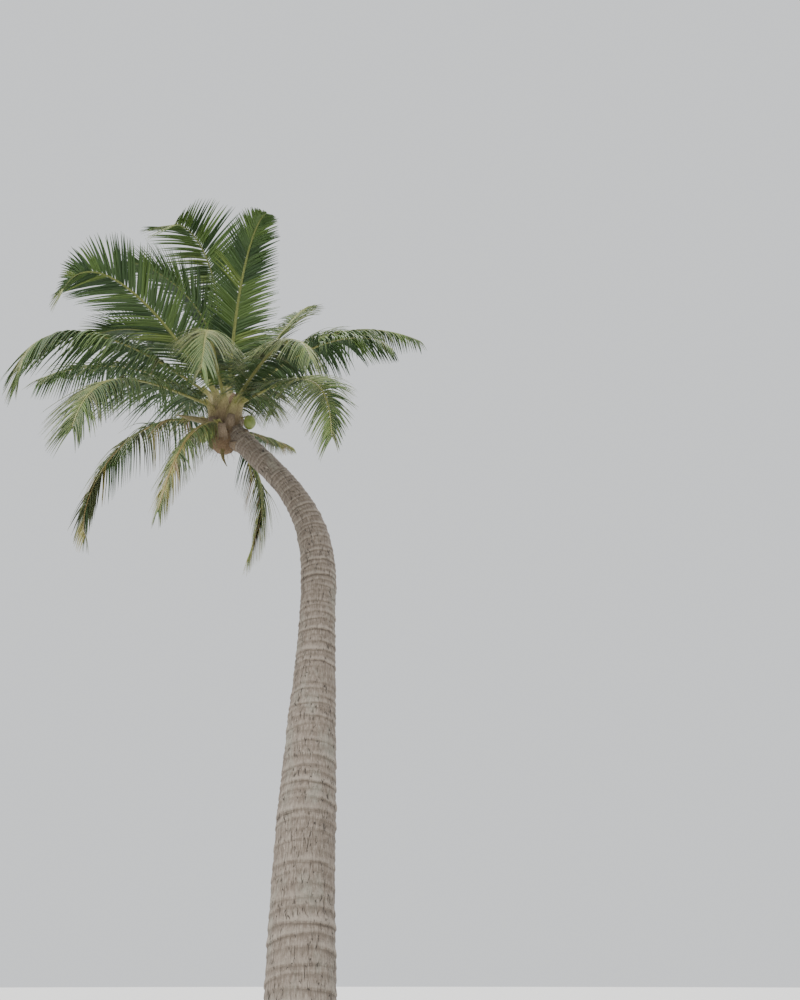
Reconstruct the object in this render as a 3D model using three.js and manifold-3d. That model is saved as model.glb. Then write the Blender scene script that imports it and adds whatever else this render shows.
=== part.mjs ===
// A coconut palm: a trunk that leans back from a swollen foot and then bends sideways under a full crown.
// Millimetres and degrees, +Z up. The origin is at the middle of the flat cut at ground level.
// +X is the side that the long single frond arches to, and -Y is the side that the tree is usually seen from.

import * as THREE from 'three';
import Module from 'manifold-3d';

const wasm = await Module();
wasm.setup();

// Trunk: the lean is measured from plumb, back along +Y and sideways towards -X
const TRUNK = {
  length: 8080,
  backLeanAtFoot: 17,
  backLeanAtTop: 8,
  backLeanSettles: 7000,
  sideLean: 1,
  sideLeanAtFoot: 3,
  footStraightens: [1500, 2500],
  crownBend: 41,
  crownBendBetween: [5050, 7450],
  neckRadius: 138,
  upperSwell: 54,
  upperSwellEnds: [5600, 7000],
  lowerSwell: 80,
  lowerSwellEnds: [2500, 5000],
  footFlare: 170,
  footFlareHeight: 500,
  levelRingsBelow: 600,
  rings: 36,
  ringCrowding: 0.5,
  sides: 20,
  lineStep: 50,
};

// Heart of the crown: the clasping leaf bases and their fibre, turned about a plumb axis
const HEART = {
  offset: [-75, 18],
  sides: 14,
  // [height above the trunk's end, radius]
  profile: [
    [-330, 0],
    [-310, 90],
    [-210, 185],
    [-60, 225],
    [150, 225],
    [330, 205],
    [470, 165],
    [560, 100],
    [590, 0],
  ],
};

// What meets the heart is cut back by a copy of it that is this much larger, which leaves about 0.35 mm
const HEART_CLEARANCE = 1.0016;
const SPLIT_GAP = 0.35;
const LEAFLET_CLEARANCE = 0.5;
const SEARCH_GAP = 1;

// Frond: the rib tapers from the base to the tip, and the stalk below the first leaflet is bare
const RIB = {
  baseHalfWidth: 34,
  baseHalfDepth: 26,
  stalkHalfWidth: 24,
  stalkHalfDepth: 20,
  tipHalfWidth: 7,
  tipHalfDepth: 6,
  sides: 4,
  stations: 11,
  startOffset: 40,
};
const STALK = 0.14;
const CURVE_STEPS = 48;

// Leaflets stand off the rib at the wide angle near the stalk, and at a narrower one near the tip
const LEAFLET = {
  perSide: 14,
  firstStation: 0.01,
  lastStation: 0.99,
  stagger: 0.012,
  wideAngle: 74,
  narrowingPower: 1.6,
  liftLoss: 10,
  lengthPhase: 0.2,
  lengthSpan: 0.7,
  lengthPower: 0.7,
  droopPower: 1.8,
  waist: 0.42,
  halfWidth: 52,
  ridge: 16,
};

// How the fronds of each age bend, how far their leaflets hang, how long and how open these are, and how many
// degrees they lift at the stalk and close up by at the tip
const AGES = {
  young: { bend: 2.0, hang: 0.2, blade: 700, spread: 0.8, narrowing: 46, lift: 22 },
  grown: { bend: 1.8, hang: 1.1, blade: 700, spread: 1.0, narrowing: 46, lift: 22 },
  old: { bend: 2.0, hang: 2.0, blade: 600, spread: 1.0, narrowing: 46, lift: 22 },
};

// One row for each frond, from the top of the crown down. The azimuth is measured from +X towards +Y.
const FRONDS = [
  { name: 'frond_01', age: 'young', azimuth: 205, rise: 78, droop: 80, length: 2600, height: 440 },
  { name: 'frond_02', age: 'young', azimuth: 100, rise: 70, droop: 50, length: 3200, height: 420 },
  { name: 'frond_03', age: 'young', azimuth: 240, rise: 76, droop: 150, length: 2950, height: 360,
    bend: 5.0, blade: 900, spread: 1.0, narrowing: 20 },
  { name: 'frond_04', age: 'young', azimuth: 278, rise: 52, droop: 90, length: 2900, height: 400, sweep: 18,
    roll: 12, blade: 520, spread: 0.85, narrowing: 60 },
  { name: 'frond_05', age: 'grown', azimuth: 47, rise: 66, droop: 17, length: 3300, height: 440, sweep: 28,
    roll: 6, bend: 2.8, blade: 640, hang: 0.8 },
  { name: 'frond_06', age: 'young', azimuth: 178, rise: 62, droop: 90, length: 2600, height: 370 },
  { name: 'frond_07', age: 'young', azimuth: 142, rise: 60, droop: 60, length: 3400, height: 350 },
  { name: 'frond_08', age: 'grown', azimuth: 35, rise: 62, droop: 45, length: 3300, height: 380,
    blade: 600 },
  { name: 'frond_09', age: 'young', azimuth: 236, rise: 28, droop: 105, length: 3300, height: 330,
    sweep: 20, roll: -52, blade: 710, narrowing: 40 },
  { name: 'frond_10', age: 'grown', azimuth: 350, rise: 46, droop: 100, length: 2600, height: 360,
    sweep: -15, blade: 560 },
  { name: 'frond_11', age: 'grown', azimuth: 15, rise: 61, droop: 75, length: 3450, height: 340, sweep: 5,
    blade: 520, hang: 1.6, narrowing: 54, lift: 10 },
  { name: 'frond_12', age: 'grown', azimuth: 270, rise: 2, droop: 84, length: 3300, height: 330,
    sweep: 18 },
  { name: 'frond_13', age: 'grown', azimuth: 203, rise: 28, droop: 128, length: 3300, height: 380,
    sweep: 38, blade: 850, hang: 1.4, spread: 0.85 },
  { name: 'frond_14', age: 'grown', azimuth: 118, rise: 48, droop: 55, length: 3400, height: 300 },
  { name: 'frond_15', age: 'grown', azimuth: 315, rise: -8, droop: 75, length: 3400, height: 320,
    sweep: -20, roll: -55, blade: 660, hang: 0.8, narrowing: 30 },
  { name: 'frond_16', age: 'grown', azimuth: 165, rise: 42, droop: 60, length: 3400, height: 260 },
  { name: 'frond_17', age: 'grown', azimuth: 298, rise: 2, droop: 65, length: 3300, height: 230 },
  { name: 'frond_18', age: 'grown', azimuth: 228, rise: -8, droop: 77, length: 3050, height: 290, sweep: 38,
    blade: 840, hang: 1.0, narrowing: 36 },
  { name: 'frond_19', age: 'grown', azimuth: 88, rise: 50, droop: 40, length: 3400, height: 200 },
  { name: 'frond_20', age: 'old', azimuth: 151, rise: 26, droop: 156, length: 3700, height: 130, sweep: -12,
    blade: 660, hang: 2.3 },
  { name: 'frond_21', age: 'old', azimuth: 263, rise: -29, droop: 42, length: 3100, height: 100, sweep: 12,
    bend: 1.0, blade: 540, hang: 2.6 },
  { name: 'frond_22', age: 'old', azimuth: 75, rise: 28, droop: 4, length: 2700, height: 60, sweep: 5,
    blade: 360, hang: 0.6, spread: 0.35 },
  { name: 'frond_23', age: 'old', azimuth: 72, rise: 7, droop: 39, length: 3450, height: -60, sweep: 44,
    bend: 2.8, blade: 660, hang: 2.8, spread: 0.55 },
];

// A frond that droops by this much or more bends round a wide gap and is two pieces, met at the bend
const SPLIT_DROOP = 70;
const SPLIT_AT = 0.5;

// Spear: the folded youngest leaf in the middle of the crown
const SPEAR = {
  azimuth: 300,
  rise: 87,
  droop: 12,
  bend: 2,
  sweep: 0,
  roll: 0,
  length: 2300,
  height: 450,
  halfWidth: 30,
  tipHalfWidth: 5,
  sides: 6,
  stations: [0, 0.1, 0.35, 0.7, 1],
};

// A closed flower sheath that stands out to the left of the heart: a spindle that narrows to its tip
const SPATHE = {
  azimuth: 192,
  rise: 6,
  length: 640,
  height: 95,
  halfWidth: 42,
  swellFrom: 0.2,
  swellTo: 0.97,
  sides: 8,
  rings: 7,
};

// Young nuts: each bunch hangs on a short stalk from the heart, and each nut on a thread from the stalk's end.
// A nut's place is [sideways, outwards, down], from the stalk's root at the heart's widest radius.
const NUT = { stretch: 1.2, sides: 10, rings: 6, poleShare: 0.06 };
const BUNCHES = [
  {
    name: 'nuts_left',
    azimuth: 225,
    height: -40,
    nuts: [{ place: [60, 60, 150], radius: 88 }, { place: [-70, 40, 130], radius: 80 }],
  },
  {
    name: 'nuts_right',
    azimuth: 335,
    height: 130,
    nuts: [{ place: [0, 150, 110], radius: 80 }],
  },
];
const BUNCH_STALK = { halfWidth: 16, reach: 38, threadHalfWidth: 8, sides: 6 };

const COLOURS = {
  trunk: 0x7d7468,
  heart: 0x6b5138,
  frond: 0x55702f,
  spear: 0x8a9a4a,
  spathe: 0x8c7a45,
  nuts: 0x6f8f2f,
};

const radians = THREE.MathUtils.degToRad;
const UP = new THREE.Vector3(0, 0, 1);

function smooth(from, to, x) {
  return THREE.MathUtils.smoothstep(x, from, to);
}

// The level of a value that goes from a to b as x goes from 0 to 1
function mix(a, b, x) {
  return a + (b - a) * x;
}

function along(start, direction, distance) {
  return start.clone().addScaledVector(direction, distance);
}

// A closed mesh from points and triangles, turned to face outwards
function solid(points, triangles) {
  let volume = 0;
  for (const [a, b, c] of triangles) {
    volume += points[a].dot(new THREE.Vector3().crossVectors(points[b], points[c]));
  }
  const facing = volume < 0 ? triangles.map(([a, b, c]) => [a, c, b]) : triangles;
  const mesh = new wasm.Mesh({
    numProp: 3,
    vertProperties: new Float32Array(points.flatMap((p) => p.toArray())),
    triVerts: new Uint32Array(facing.flat()),
  });
  return new wasm.Manifold(mesh);
}

// A closed skin over rings that have the same number of points each, with a fan over either end
function loft(rings) {
  const sides = rings[0].length;
  const points = rings.flat();
  const triangles = [];
  for (let ring = 0; ring + 1 < rings.length; ring += 1) {
    for (let side = 0; side < sides; side += 1) {
      const a = ring * sides + side;
      const b = ring * sides + ((side + 1) % sides);
      triangles.push([a, b, b + sides], [a, b + sides, a + sides]);
    }
  }
  const last = (rings.length - 1) * sides;
  for (let side = 1; side + 1 < sides; side += 1) {
    triangles.push([0, side + 1, side], [last, last + side, last + side + 1]);
  }
  return solid(points, triangles);
}

function ringOfPoints(centre, across, upward, sides) {
  return Array.from({ length: sides }, (_, side) => {
    const turn = (2 * Math.PI * side) / sides;
    return along(along(centre, across, Math.cos(turn)), upward, Math.sin(turn));
  });
}

// Trunk

function trunkDirection(s) {
  const back = radians(mix(TRUNK.backLeanAtFoot, TRUNK.backLeanAtTop, smooth(0, TRUNK.backLeanSettles, s)));
  const foot = TRUNK.sideLeanAtFoot * (1 - smooth(...TRUNK.footStraightens, s));
  const side = radians(TRUNK.sideLean + foot + TRUNK.crownBend * smooth(...TRUNK.crownBendBetween, s));
  return new THREE.Vector3(-Math.sin(side), Math.sin(back) * Math.cos(side), Math.cos(back) * Math.cos(side));
}

function trunkRadius(s) {
  return TRUNK.neckRadius
    + TRUNK.upperSwell * (1 - smooth(...TRUNK.upperSwellEnds, s))
    + TRUNK.lowerSwell * (1 - smooth(...TRUNK.lowerSwellEnds, s))
    + TRUNK.footFlare * Math.exp(-s / TRUNK.footFlareHeight);
}

// The centre line as a function of the distance along it
function trunkLine() {
  const step = TRUNK.lineStep;
  const points = [new THREE.Vector3()];
  for (let s = 0; s < TRUNK.length; s += step) {
    const middle = trunkDirection(s + step / 2);
    points.push(along(points[points.length - 1], middle, step));
  }
  return (s) => {
    const place = Math.min(s / step, points.length - 1.001);
    const index = Math.floor(place);
    return points[index].clone().lerp(points[index + 1], place - index);
  };
}

const trunkPoint = trunkLine();
const TRUNK_END = trunkPoint(TRUNK.length);

function makeTrunk() {
  const rings = [];
  for (let ring = 0; ring <= TRUNK.rings; ring += 1) {
    const share = ring / TRUNK.rings;
    const s = TRUNK.length * mix(share, share * share, TRUNK.ringCrowding);
    const axis = UP.clone().lerp(trunkDirection(s), smooth(0, TRUNK.levelRingsBelow, s)).normalize();
    const across = new THREE.Vector3(1, 0, 0).addScaledVector(axis, -axis.x).normalize();
    const upward = new THREE.Vector3().crossVectors(axis, across);
    const radius = trunkRadius(s);
    rings.push(ringOfPoints(trunkPoint(s), across.multiplyScalar(radius), upward.multiplyScalar(radius),
      TRUNK.sides));
  }
  return loft(rings);
}

// Heart

const HEART_AXIS = new THREE.Vector3(
  TRUNK_END.x + HEART.offset[0], TRUNK_END.y + HEART.offset[1], TRUNK_END.z);

// The heart's closed shape, scaled about the middle of its height
function makeHeart(scale) {
  const heights = HEART.profile.map(([height]) => height);
  const middle = (heights[0] + heights[heights.length - 1]) / 2;
  const points = [];
  const triangles = [];
  const centre = (height) => along(HEART_AXIS, UP, mix(middle, height, scale));
  points.push(centre(heights[0]), centre(heights[heights.length - 1]));
  const rings = HEART.profile.slice(1, -1);
  for (const [height, radius] of rings) {
    const across = new THREE.Vector3(radius * scale, 0, 0);
    const upward = new THREE.Vector3(0, radius * scale, 0);
    points.push(...ringOfPoints(centre(height), across, upward, HEART.sides));
  }
  const at = (ring, side) => 2 + ring * HEART.sides + (side % HEART.sides);
  for (let side = 0; side < HEART.sides; side += 1) {
    triangles.push([0, at(0, side + 1), at(0, side)]);
    triangles.push([1, at(rings.length - 1, side), at(rings.length - 1, side + 1)]);
    for (let ring = 0; ring + 1 < rings.length; ring += 1) {
      triangles.push([at(ring, side), at(ring, side + 1), at(ring + 1, side + 1)]);
      triangles.push([at(ring, side), at(ring + 1, side + 1), at(ring + 1, side)]);
    }
  }
  return solid(points, triangles);
}

// Fronds

// Where the rib runs and how its blade is turned, at a share t of its length. Height and azimuth set its root.
function frondCurve(frond) {
  const direction = (t) => {
    const rise = radians(frond.rise - frond.droop * t ** frond.bend);
    const azimuth = radians(frond.azimuth + frond.sweep * t);
    const ahead = new THREE.Vector3(
      Math.cos(rise) * Math.cos(azimuth), Math.cos(rise) * Math.sin(azimuth), Math.sin(rise));
    const above = new THREE.Vector3(
      -Math.sin(rise) * Math.cos(azimuth), -Math.sin(rise) * Math.sin(azimuth), Math.cos(rise));
    const beside = new THREE.Vector3(Math.sin(azimuth), -Math.cos(azimuth), 0);
    beside.applyAxisAngle(ahead, -radians(frond.roll * t));
    above.applyAxisAngle(ahead, -radians(frond.roll * t));
    return { ahead, above, beside };
  };
  const azimuth = radians(frond.azimuth);
  const outward = new THREE.Vector3(Math.cos(azimuth), Math.sin(azimuth), 0);
  const points = [along(along(HEART_AXIS, UP, frond.height), outward, RIB.startOffset)];
  for (let step = 0; step < CURVE_STEPS; step += 1) {
    const { ahead } = direction((step + 0.5) / CURVE_STEPS);
    points.push(along(points[step], ahead, frond.length / CURVE_STEPS));
  }
  return (t) => {
    const place = Math.min(t * CURVE_STEPS, CURVE_STEPS - 0.001);
    const index = Math.floor(place);
    const point = points[index].clone().lerp(points[index + 1], place - index);
    return { point, ...direction(t) };
  };
}

function ribHalfSize(t, base, stalk, tip) {
  return t < STALK ? mix(base, stalk, t / STALK) : mix(stalk, tip, (t - STALK) / (1 - STALK));
}

function ribStations(from, to) {
  const steps = Math.max(2, Math.round(RIB.stations * (to - from)));
  return Array.from({ length: steps + 1 }, (_, step) => mix(from, to, step / steps));
}

// The middle of the faceted rib at t, on the straight run between the two stations round it
function ribMiddle(curve, from, to, t) {
  const stations = ribStations(from, to);
  const place = THREE.MathUtils.clamp((t - from) / (to - from), 0, 0.999) * (stations.length - 1);
  const index = Math.floor(place);
  return curve(stations[index]).point.lerp(curve(stations[index + 1]).point, place - index);
}

// A four-sided rib between two shares of the length, with its edges up, down and to the sides
function makeRib(curve, from, to) {
  const rings = [];
  for (const t of ribStations(from, to)) {
    const { point, above, beside } = curve(t);
    const halfWidth = ribHalfSize(t, RIB.baseHalfWidth, RIB.stalkHalfWidth, RIB.tipHalfWidth);
    const halfDepth = ribHalfSize(t, RIB.baseHalfDepth, RIB.stalkHalfDepth, RIB.tipHalfDepth);
    rings.push(ringOfPoints(point, beside.multiplyScalar(halfWidth), above.multiplyScalar(halfDepth), RIB.sides));
  }
  return loft(rings);
}

// One leaflet: it starts inside the rib, is widest at its waist, and hangs towards its tip
function makeLeaflet(frond, curve, side, share, root) {
  const { ahead, above, beside } = curve(mix(STALK, 1, share));
  const open = frond.spread * radians(LEAFLET.wideAngle - frond.narrowing * share ** LEAFLET.narrowingPower);
  const lift = radians(frond.lift - LEAFLET.liftLoss * share);
  const stand = new THREE.Vector3()
    .addScaledVector(ahead, Math.cos(open))
    .addScaledVector(beside, side * Math.sin(open) * Math.cos(lift))
    .addScaledVector(above, Math.sin(open) * Math.sin(lift));
  const phase = LEAFLET.lengthPhase + LEAFLET.lengthSpan * share;
  const length = frond.blade * Math.sin(Math.PI * phase) ** LEAFLET.lengthPower;
  const path = (q) => stand.clone().multiplyScalar(q).addScaledVector(UP, -frond.hang * q ** LEAFLET.droopPower);
  const waist = path(LEAFLET.waist);
  const tip = path(1);
  const scale = length / (waist.length() + tip.distanceTo(waist));
  waist.multiplyScalar(scale);
  tip.multiplyScalar(scale);
  const run = tip.clone().normalize();
  const wide = ahead.clone().addScaledVector(run, -ahead.dot(run)).normalize();
  const ridge = new THREE.Vector3().crossVectors(run, wide);
  ridge.multiplyScalar(Math.sign(ridge.dot(above)) || 1);
  waist.add(root);
  tip.add(root);
  const points = [
    root,
    along(waist, wide, -LEAFLET.halfWidth),
    along(waist, wide, LEAFLET.halfWidth),
    along(waist, ridge, LEAFLET.ridge),
    tip,
  ];
  return solid(points, [[0, 2, 1], [0, 3, 2], [0, 1, 3], [4, 1, 2], [4, 2, 3], [4, 3, 1]]);
}

function boxesTouch(a, b) {
  return [0, 1, 2].every((axis) => a.min[axis] <= b.max[axis] + SEARCH_GAP
    && b.min[axis] <= a.max[axis] + SEARCH_GAP);
}

// A piece of the tree that a leaflet has to keep clear of
function limb(owner, body) {
  return { owner, body, box: body.boundingBox() };
}

function isClear(candidate, owner, limbs) {
  return limbs.every((other) => other.owner === owner
    || !boxesTouch(candidate.box, other.box)
    || candidate.body.minGap(other.body, SEARCH_GAP) > LEAFLET_CLEARANCE);
}

// The frond's ribs, cut where they meet the heart, each with the stretch of the frond that it covers
function frondParts(frond, curve, heartRoom) {
  if (frond.droop < SPLIT_DROOP) {
    return [{ name: frond.name, from: 0, to: 1, rib: makeRib(curve, 0, 1).subtract(heartRoom) }];
  }
  const outerStart = SPLIT_AT + SPLIT_GAP / frond.length;
  return [
    { name: `${frond.name}_inner`, from: 0, to: SPLIT_AT, rib: makeRib(curve, 0, SPLIT_AT).subtract(heartRoom) },
    { name: `${frond.name}_outer`, from: outerStart, to: 1, rib: makeRib(curve, outerStart, 1) },
  ];
}

function leafletShares() {
  return Array.from({ length: LEAFLET.perSide }, (_, index) =>
    mix(LEAFLET.firstStation, LEAFLET.lastStation, index / (LEAFLET.perSide - 1)));
}

function growLeaflets(frond, part, curve, limbs) {
  const grown = [];
  for (const side of [-1, 1]) {
    for (const station of leafletShares()) {
      const share = THREE.MathUtils.clamp(station + side * LEAFLET.stagger, 0, 1);
      const t = mix(STALK, 1, share);
      if (t < part.from || t > part.to) continue;
      const root = ribMiddle(curve, part.from, part.to, t);
      const leaflet = limb(part.name, makeLeaflet(frond, curve, side, share, root));
      if (!isClear(leaflet, part.name, limbs)) continue;
      grown.push(leaflet);
    }
  }
  return grown;
}

// The rib and its leaflets as one body: a hollow that the leaflets seal among them is filled
function fuse(rib, leaflets) {
  const whole = leaflets.reduce((body, leaflet) => body.add(leaflet.body), rib);
  return whole.decompose().reduce((largest, body) => (body.volume() > largest.volume() ? body : largest));
}

// Spear, flower sheath and nuts

function makeSpear(curve) {
  const rings = SPEAR.stations.map((t) => {
    const { point, above, beside } = curve(t);
    const half = mix(SPEAR.halfWidth, SPEAR.tipHalfWidth, t);
    return ringOfPoints(point, beside.multiplyScalar(half), above.multiplyScalar(half), SPEAR.sides);
  });
  return loft(rings);
}

function makeSpathe() {
  const azimuth = radians(SPATHE.azimuth);
  const rise = radians(SPATHE.rise);
  const ahead = new THREE.Vector3(
    Math.cos(rise) * Math.cos(azimuth), Math.cos(rise) * Math.sin(azimuth), Math.sin(rise));
  const beside = new THREE.Vector3(Math.sin(azimuth), -Math.cos(azimuth), 0);
  const above = new THREE.Vector3().crossVectors(beside, ahead);
  const start = along(HEART_AXIS, UP, SPATHE.height);
  const rings = [];
  for (let ring = 0; ring <= SPATHE.rings; ring += 1) {
    const share = ring / SPATHE.rings;
    const half = SPATHE.halfWidth * Math.sin(Math.PI * mix(SPATHE.swellFrom, SPATHE.swellTo, share));
    rings.push(ringOfPoints(along(start, ahead, SPATHE.length * share), beside.clone().multiplyScalar(half),
      above.clone().multiplyScalar(half), SPATHE.sides));
  }
  return loft(rings);
}

// An egg-shaped nut, closed over its poles
function makeNut(centre, radius) {
  const rings = [];
  for (let ring = 0; ring <= NUT.rings; ring += 1) {
    const turn = Math.PI * mix(NUT.poleShare, 1 - NUT.poleShare, ring / NUT.rings);
    const level = along(centre, UP, -radius * NUT.stretch * Math.cos(turn));
    const half = radius * Math.sin(turn);
    rings.push(ringOfPoints(level, new THREE.Vector3(half, 0, 0), new THREE.Vector3(0, half, 0), NUT.sides));
  }
  return loft(rings);
}

// A straight round stem between two points, given the two directions that its section lies along
function makeStem(from, to, across, upward, halfWidth) {
  const width = across.clone().multiplyScalar(halfWidth);
  const depth = upward.clone().multiplyScalar(halfWidth);
  return loft([from, to].map((centre) => ringOfPoints(centre, width, depth, BUNCH_STALK.sides)));
}

function makeBunch(bunch) {
  const azimuth = radians(bunch.azimuth);
  const outward = new THREE.Vector3(Math.cos(azimuth), Math.sin(azimuth), 0);
  const sideways = new THREE.Vector3(-outward.y, outward.x, 0);
  const start = along(HEART_AXIS, UP, bunch.height);
  const rim = along(start, outward, Math.max(...HEART.profile.map(([, radius]) => radius)));
  const end = along(rim, outward, BUNCH_STALK.reach);
  const knot = along(end, outward, -BUNCH_STALK.threadHalfWidth);
  let body = makeStem(start, end, sideways, UP, BUNCH_STALK.halfWidth);
  for (const { place: [side, out, down], radius } of bunch.nuts) {
    const centre = along(along(along(rim, sideways, side), outward, out), UP, -down);
    const crownOfNut = along(centre, UP, radius);
    body = body.add(makeStem(knot, crownOfNut, outward, sideways, BUNCH_STALK.threadHalfWidth));
    body = body.add(makeNut(centre, radius));
  }
  return body;
}

// Assembly

function toMesh(name, body, colour) {
  const { vertProperties, triVerts, numProp } = body.getMesh();
  const positions = new Float32Array((vertProperties.length / numProp) * 3);
  for (let vertex = 0; vertex < positions.length / 3; vertex += 1) {
    positions.set(vertProperties.subarray(vertex * numProp, vertex * numProp + 3), vertex * 3);
  }
  const geometry = new THREE.BufferGeometry();
  geometry.setAttribute('position', new THREE.BufferAttribute(positions, 3));
  geometry.setIndex(new THREE.BufferAttribute(new Uint32Array(triVerts), 1));
  geometry.computeVertexNormals();
  const material = new THREE.MeshStandardMaterial({ color: colour, roughness: 0.7, metalness: 0 });
  const mesh = new THREE.Mesh(geometry, material);
  mesh.name = name;
  return mesh;
}

function buildPalm() {
  const palm = new THREE.Group();
  const heartRoom = makeHeart(HEART_CLEARANCE);
  const heart = makeHeart(1);
  const trunk = makeTrunk().subtract(heartRoom);
  const spear = makeSpear(frondCurve(SPEAR)).subtract(heartRoom);
  const spathe = makeSpathe().subtract(heartRoom);
  const bunches = BUNCHES.map((bunch) => ({ name: bunch.name, body: makeBunch(bunch).subtract(heartRoom) }));
  const limbs = [
    limb('trunk', trunk),
    limb('heart', heart),
    limb('spear', spear),
    limb('spathe', spathe),
    ...bunches.map(({ name, body }) => limb(name, body)),
  ];
  const parts = FRONDS.flatMap((row) => {
    const frond = { sweep: 0, roll: 0, ...AGES[row.age], ...row };
    const curve = frondCurve(frond);
    return frondParts(frond, curve, heartRoom).map((part) => ({ ...part, frond, curve }));
  });
  for (const part of parts) limbs.push(limb(part.name, part.rib));
  palm.add(toMesh('trunk', trunk, COLOURS.trunk));
  palm.add(toMesh('heart', heart, COLOURS.heart));
  palm.add(toMesh('spear', spear, COLOURS.spear));
  palm.add(toMesh('spathe', spathe, COLOURS.spathe));
  for (const { name, body } of bunches) palm.add(toMesh(name, body, COLOURS.nuts));
  for (const part of parts) {
    const leaflets = growLeaflets(part.frond, part, part.curve, limbs);
    limbs.push(...leaflets);
    palm.add(toMesh(part.name, fuse(part.rib, leaflets), COLOURS.frond));
  }
  return palm;
}

export default buildPalm();
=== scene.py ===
"""A coconut palm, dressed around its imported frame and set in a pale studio.

The frame holds the palm as plain solids: the trunk, the heart of the crown, the folded spear, the flower
sheath, the nuts and the fronds. Each class here repeats the rule and the sizes of one of them, carries it to
finer shapes within the same reach, and dresses it. Sizes are in metres and angles in degrees, +Z is up, and
the origin is at the middle of the flat cut at ground level. The usual view looks along +Y.
"""

from __future__ import annotations

import logging
import math
from collections.abc import Sequence
from dataclasses import dataclass, field, replace
from enum import Enum

import bpy
import numpy as np
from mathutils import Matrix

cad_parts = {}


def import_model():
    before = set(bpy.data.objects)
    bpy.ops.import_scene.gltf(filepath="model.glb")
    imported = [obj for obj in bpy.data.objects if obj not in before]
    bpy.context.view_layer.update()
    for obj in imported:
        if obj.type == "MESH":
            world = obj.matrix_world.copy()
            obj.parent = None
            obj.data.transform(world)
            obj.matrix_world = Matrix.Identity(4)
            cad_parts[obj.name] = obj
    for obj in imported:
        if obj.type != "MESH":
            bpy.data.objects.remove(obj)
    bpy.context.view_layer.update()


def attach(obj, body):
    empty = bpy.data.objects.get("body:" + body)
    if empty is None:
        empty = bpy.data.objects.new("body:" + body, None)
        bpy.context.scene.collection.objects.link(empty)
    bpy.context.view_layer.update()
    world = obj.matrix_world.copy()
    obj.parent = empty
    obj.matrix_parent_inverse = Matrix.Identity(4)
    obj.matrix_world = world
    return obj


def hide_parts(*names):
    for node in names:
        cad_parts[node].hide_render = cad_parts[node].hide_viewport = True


Array = np.ndarray
Span = tuple[float, float]
Colour = tuple[float, float, float]
Stops = tuple[tuple[float, Colour], ...]
Material = bpy.types.Material
Object = bpy.types.Object
Socket = bpy.types.NodeSocket

BODY = "root"
RIGHT = np.array([1.0, 0.0, 0.0])
BACK = np.array([0.0, 1.0, 0.0])
UP = np.array([0.0, 0.0, 1.0])
FULL_TURN = 2.0 * math.pi
# The turn round the stem from one leaf to the next.
GOLDEN_TURN = math.radians(137.5)
# Stands in a triangle for its fourth point.
NO_POINT = -1
log = logging.getLogger("palm")


class Slot(Enum):
    """The record's material slots."""

    BARK = "bark"
    FIBRE = "leaf_fibre"
    LEAFLET = "leaflet_green"
    RIB = "rib_green"
    SHEATH = "flower_sheath"
    HUSK = "nut_husk"


class Age(Enum):
    """The age of a frond, which decides how it bends and hangs and what colour it is."""

    YOUNG = "young"
    GROWN = "grown"
    OLD = "old"


class Tint(Enum):
    """The plain leaf colours that are dealt out by spray, as linear red, green and blue."""

    FRESH = (0.150, 0.215, 0.045)
    BRIGHT = (0.092, 0.160, 0.034)
    MIDDLE = (0.058, 0.112, 0.028)
    DEEP = (0.034, 0.074, 0.020)
    DULL = (0.078, 0.098, 0.036)
    YELLOWING = (0.235, 0.215, 0.060)
    DRY = (0.240, 0.165, 0.085)
    MIDRIB = (0.300, 0.310, 0.110)


TINT_ORDER = list(Tint)


def smooth(low: float, high: float, x: Array) -> Array:
    """An eased step: 0 below low, 1 above high, and 3 u^2 - 2 u^3 between them."""
    u = np.clip((np.asarray(x, float) - low) / (high - low), 0.0, 1.0)
    return u * u * (3.0 - 2.0 * u)


def plateau(rise: Span, fall: Span, x: Array) -> Array:
    """A level that eases from 0 up to 1 over one span, and back down to 0 over a later one."""
    return smooth(*rise, x) * (1.0 - smooth(*fall, x))


def mix(a: Array, b: Array, share: Array) -> Array:
    """The level of a value that goes from a to b as the share goes from 0 to 1."""
    return a + (b - a) * share


def unit(vectors: Array) -> Array:
    """Each vector along the last axis, divided by its own length."""
    return vectors / np.maximum(np.linalg.norm(vectors, axis=-1, keepdims=True), 1e-12)


def dot(a: Array, b: Array) -> Array:
    """The dot product along the last axis, which is kept as an axis of one."""
    return np.sum(a * b, axis=-1, keepdims=True)


def square_to(run: Array, side: Array) -> tuple[Array, Array]:
    """The direction nearest to side that is square to run, and run x that one, which is square to both."""
    across = unit(side - run * dot(run, side))
    return across, np.cross(run, across)


def level_direction(azimuth: Array) -> Array:
    """The level direction at each azimuth, in radians from +X towards +Y."""
    return np.stack([np.cos(azimuth), np.sin(azimuth), np.zeros_like(azimuth)], axis=-1)


def turns(sides: int) -> Array:
    """Even places round a full turn, from 0 to a little under 1."""
    return np.arange(sides) / sides


def rings_round(centres: Array, across: Array, upward: Array, half: Array) -> Array:
    """Rings of points: each is its centre plus half its width times (across cos a + upward sin a).

    Args:
        centres: The rings' centres.
        across: The direction of each ring's first point, or one direction for them all.
        upward: Square to it, a quarter turn further.
        half: Half the width at each point, in the shape (..., rings, sides).

    Returns:
        Points in the shape (..., rings, sides, 3).
    """
    angle = FULL_TURN * turns(half.shape[-1])[:, None]
    out = across[..., None, :] * np.cos(angle) + upward[..., None, :] * np.sin(angle)
    return centres[..., None, :] + out * half[..., None]


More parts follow.
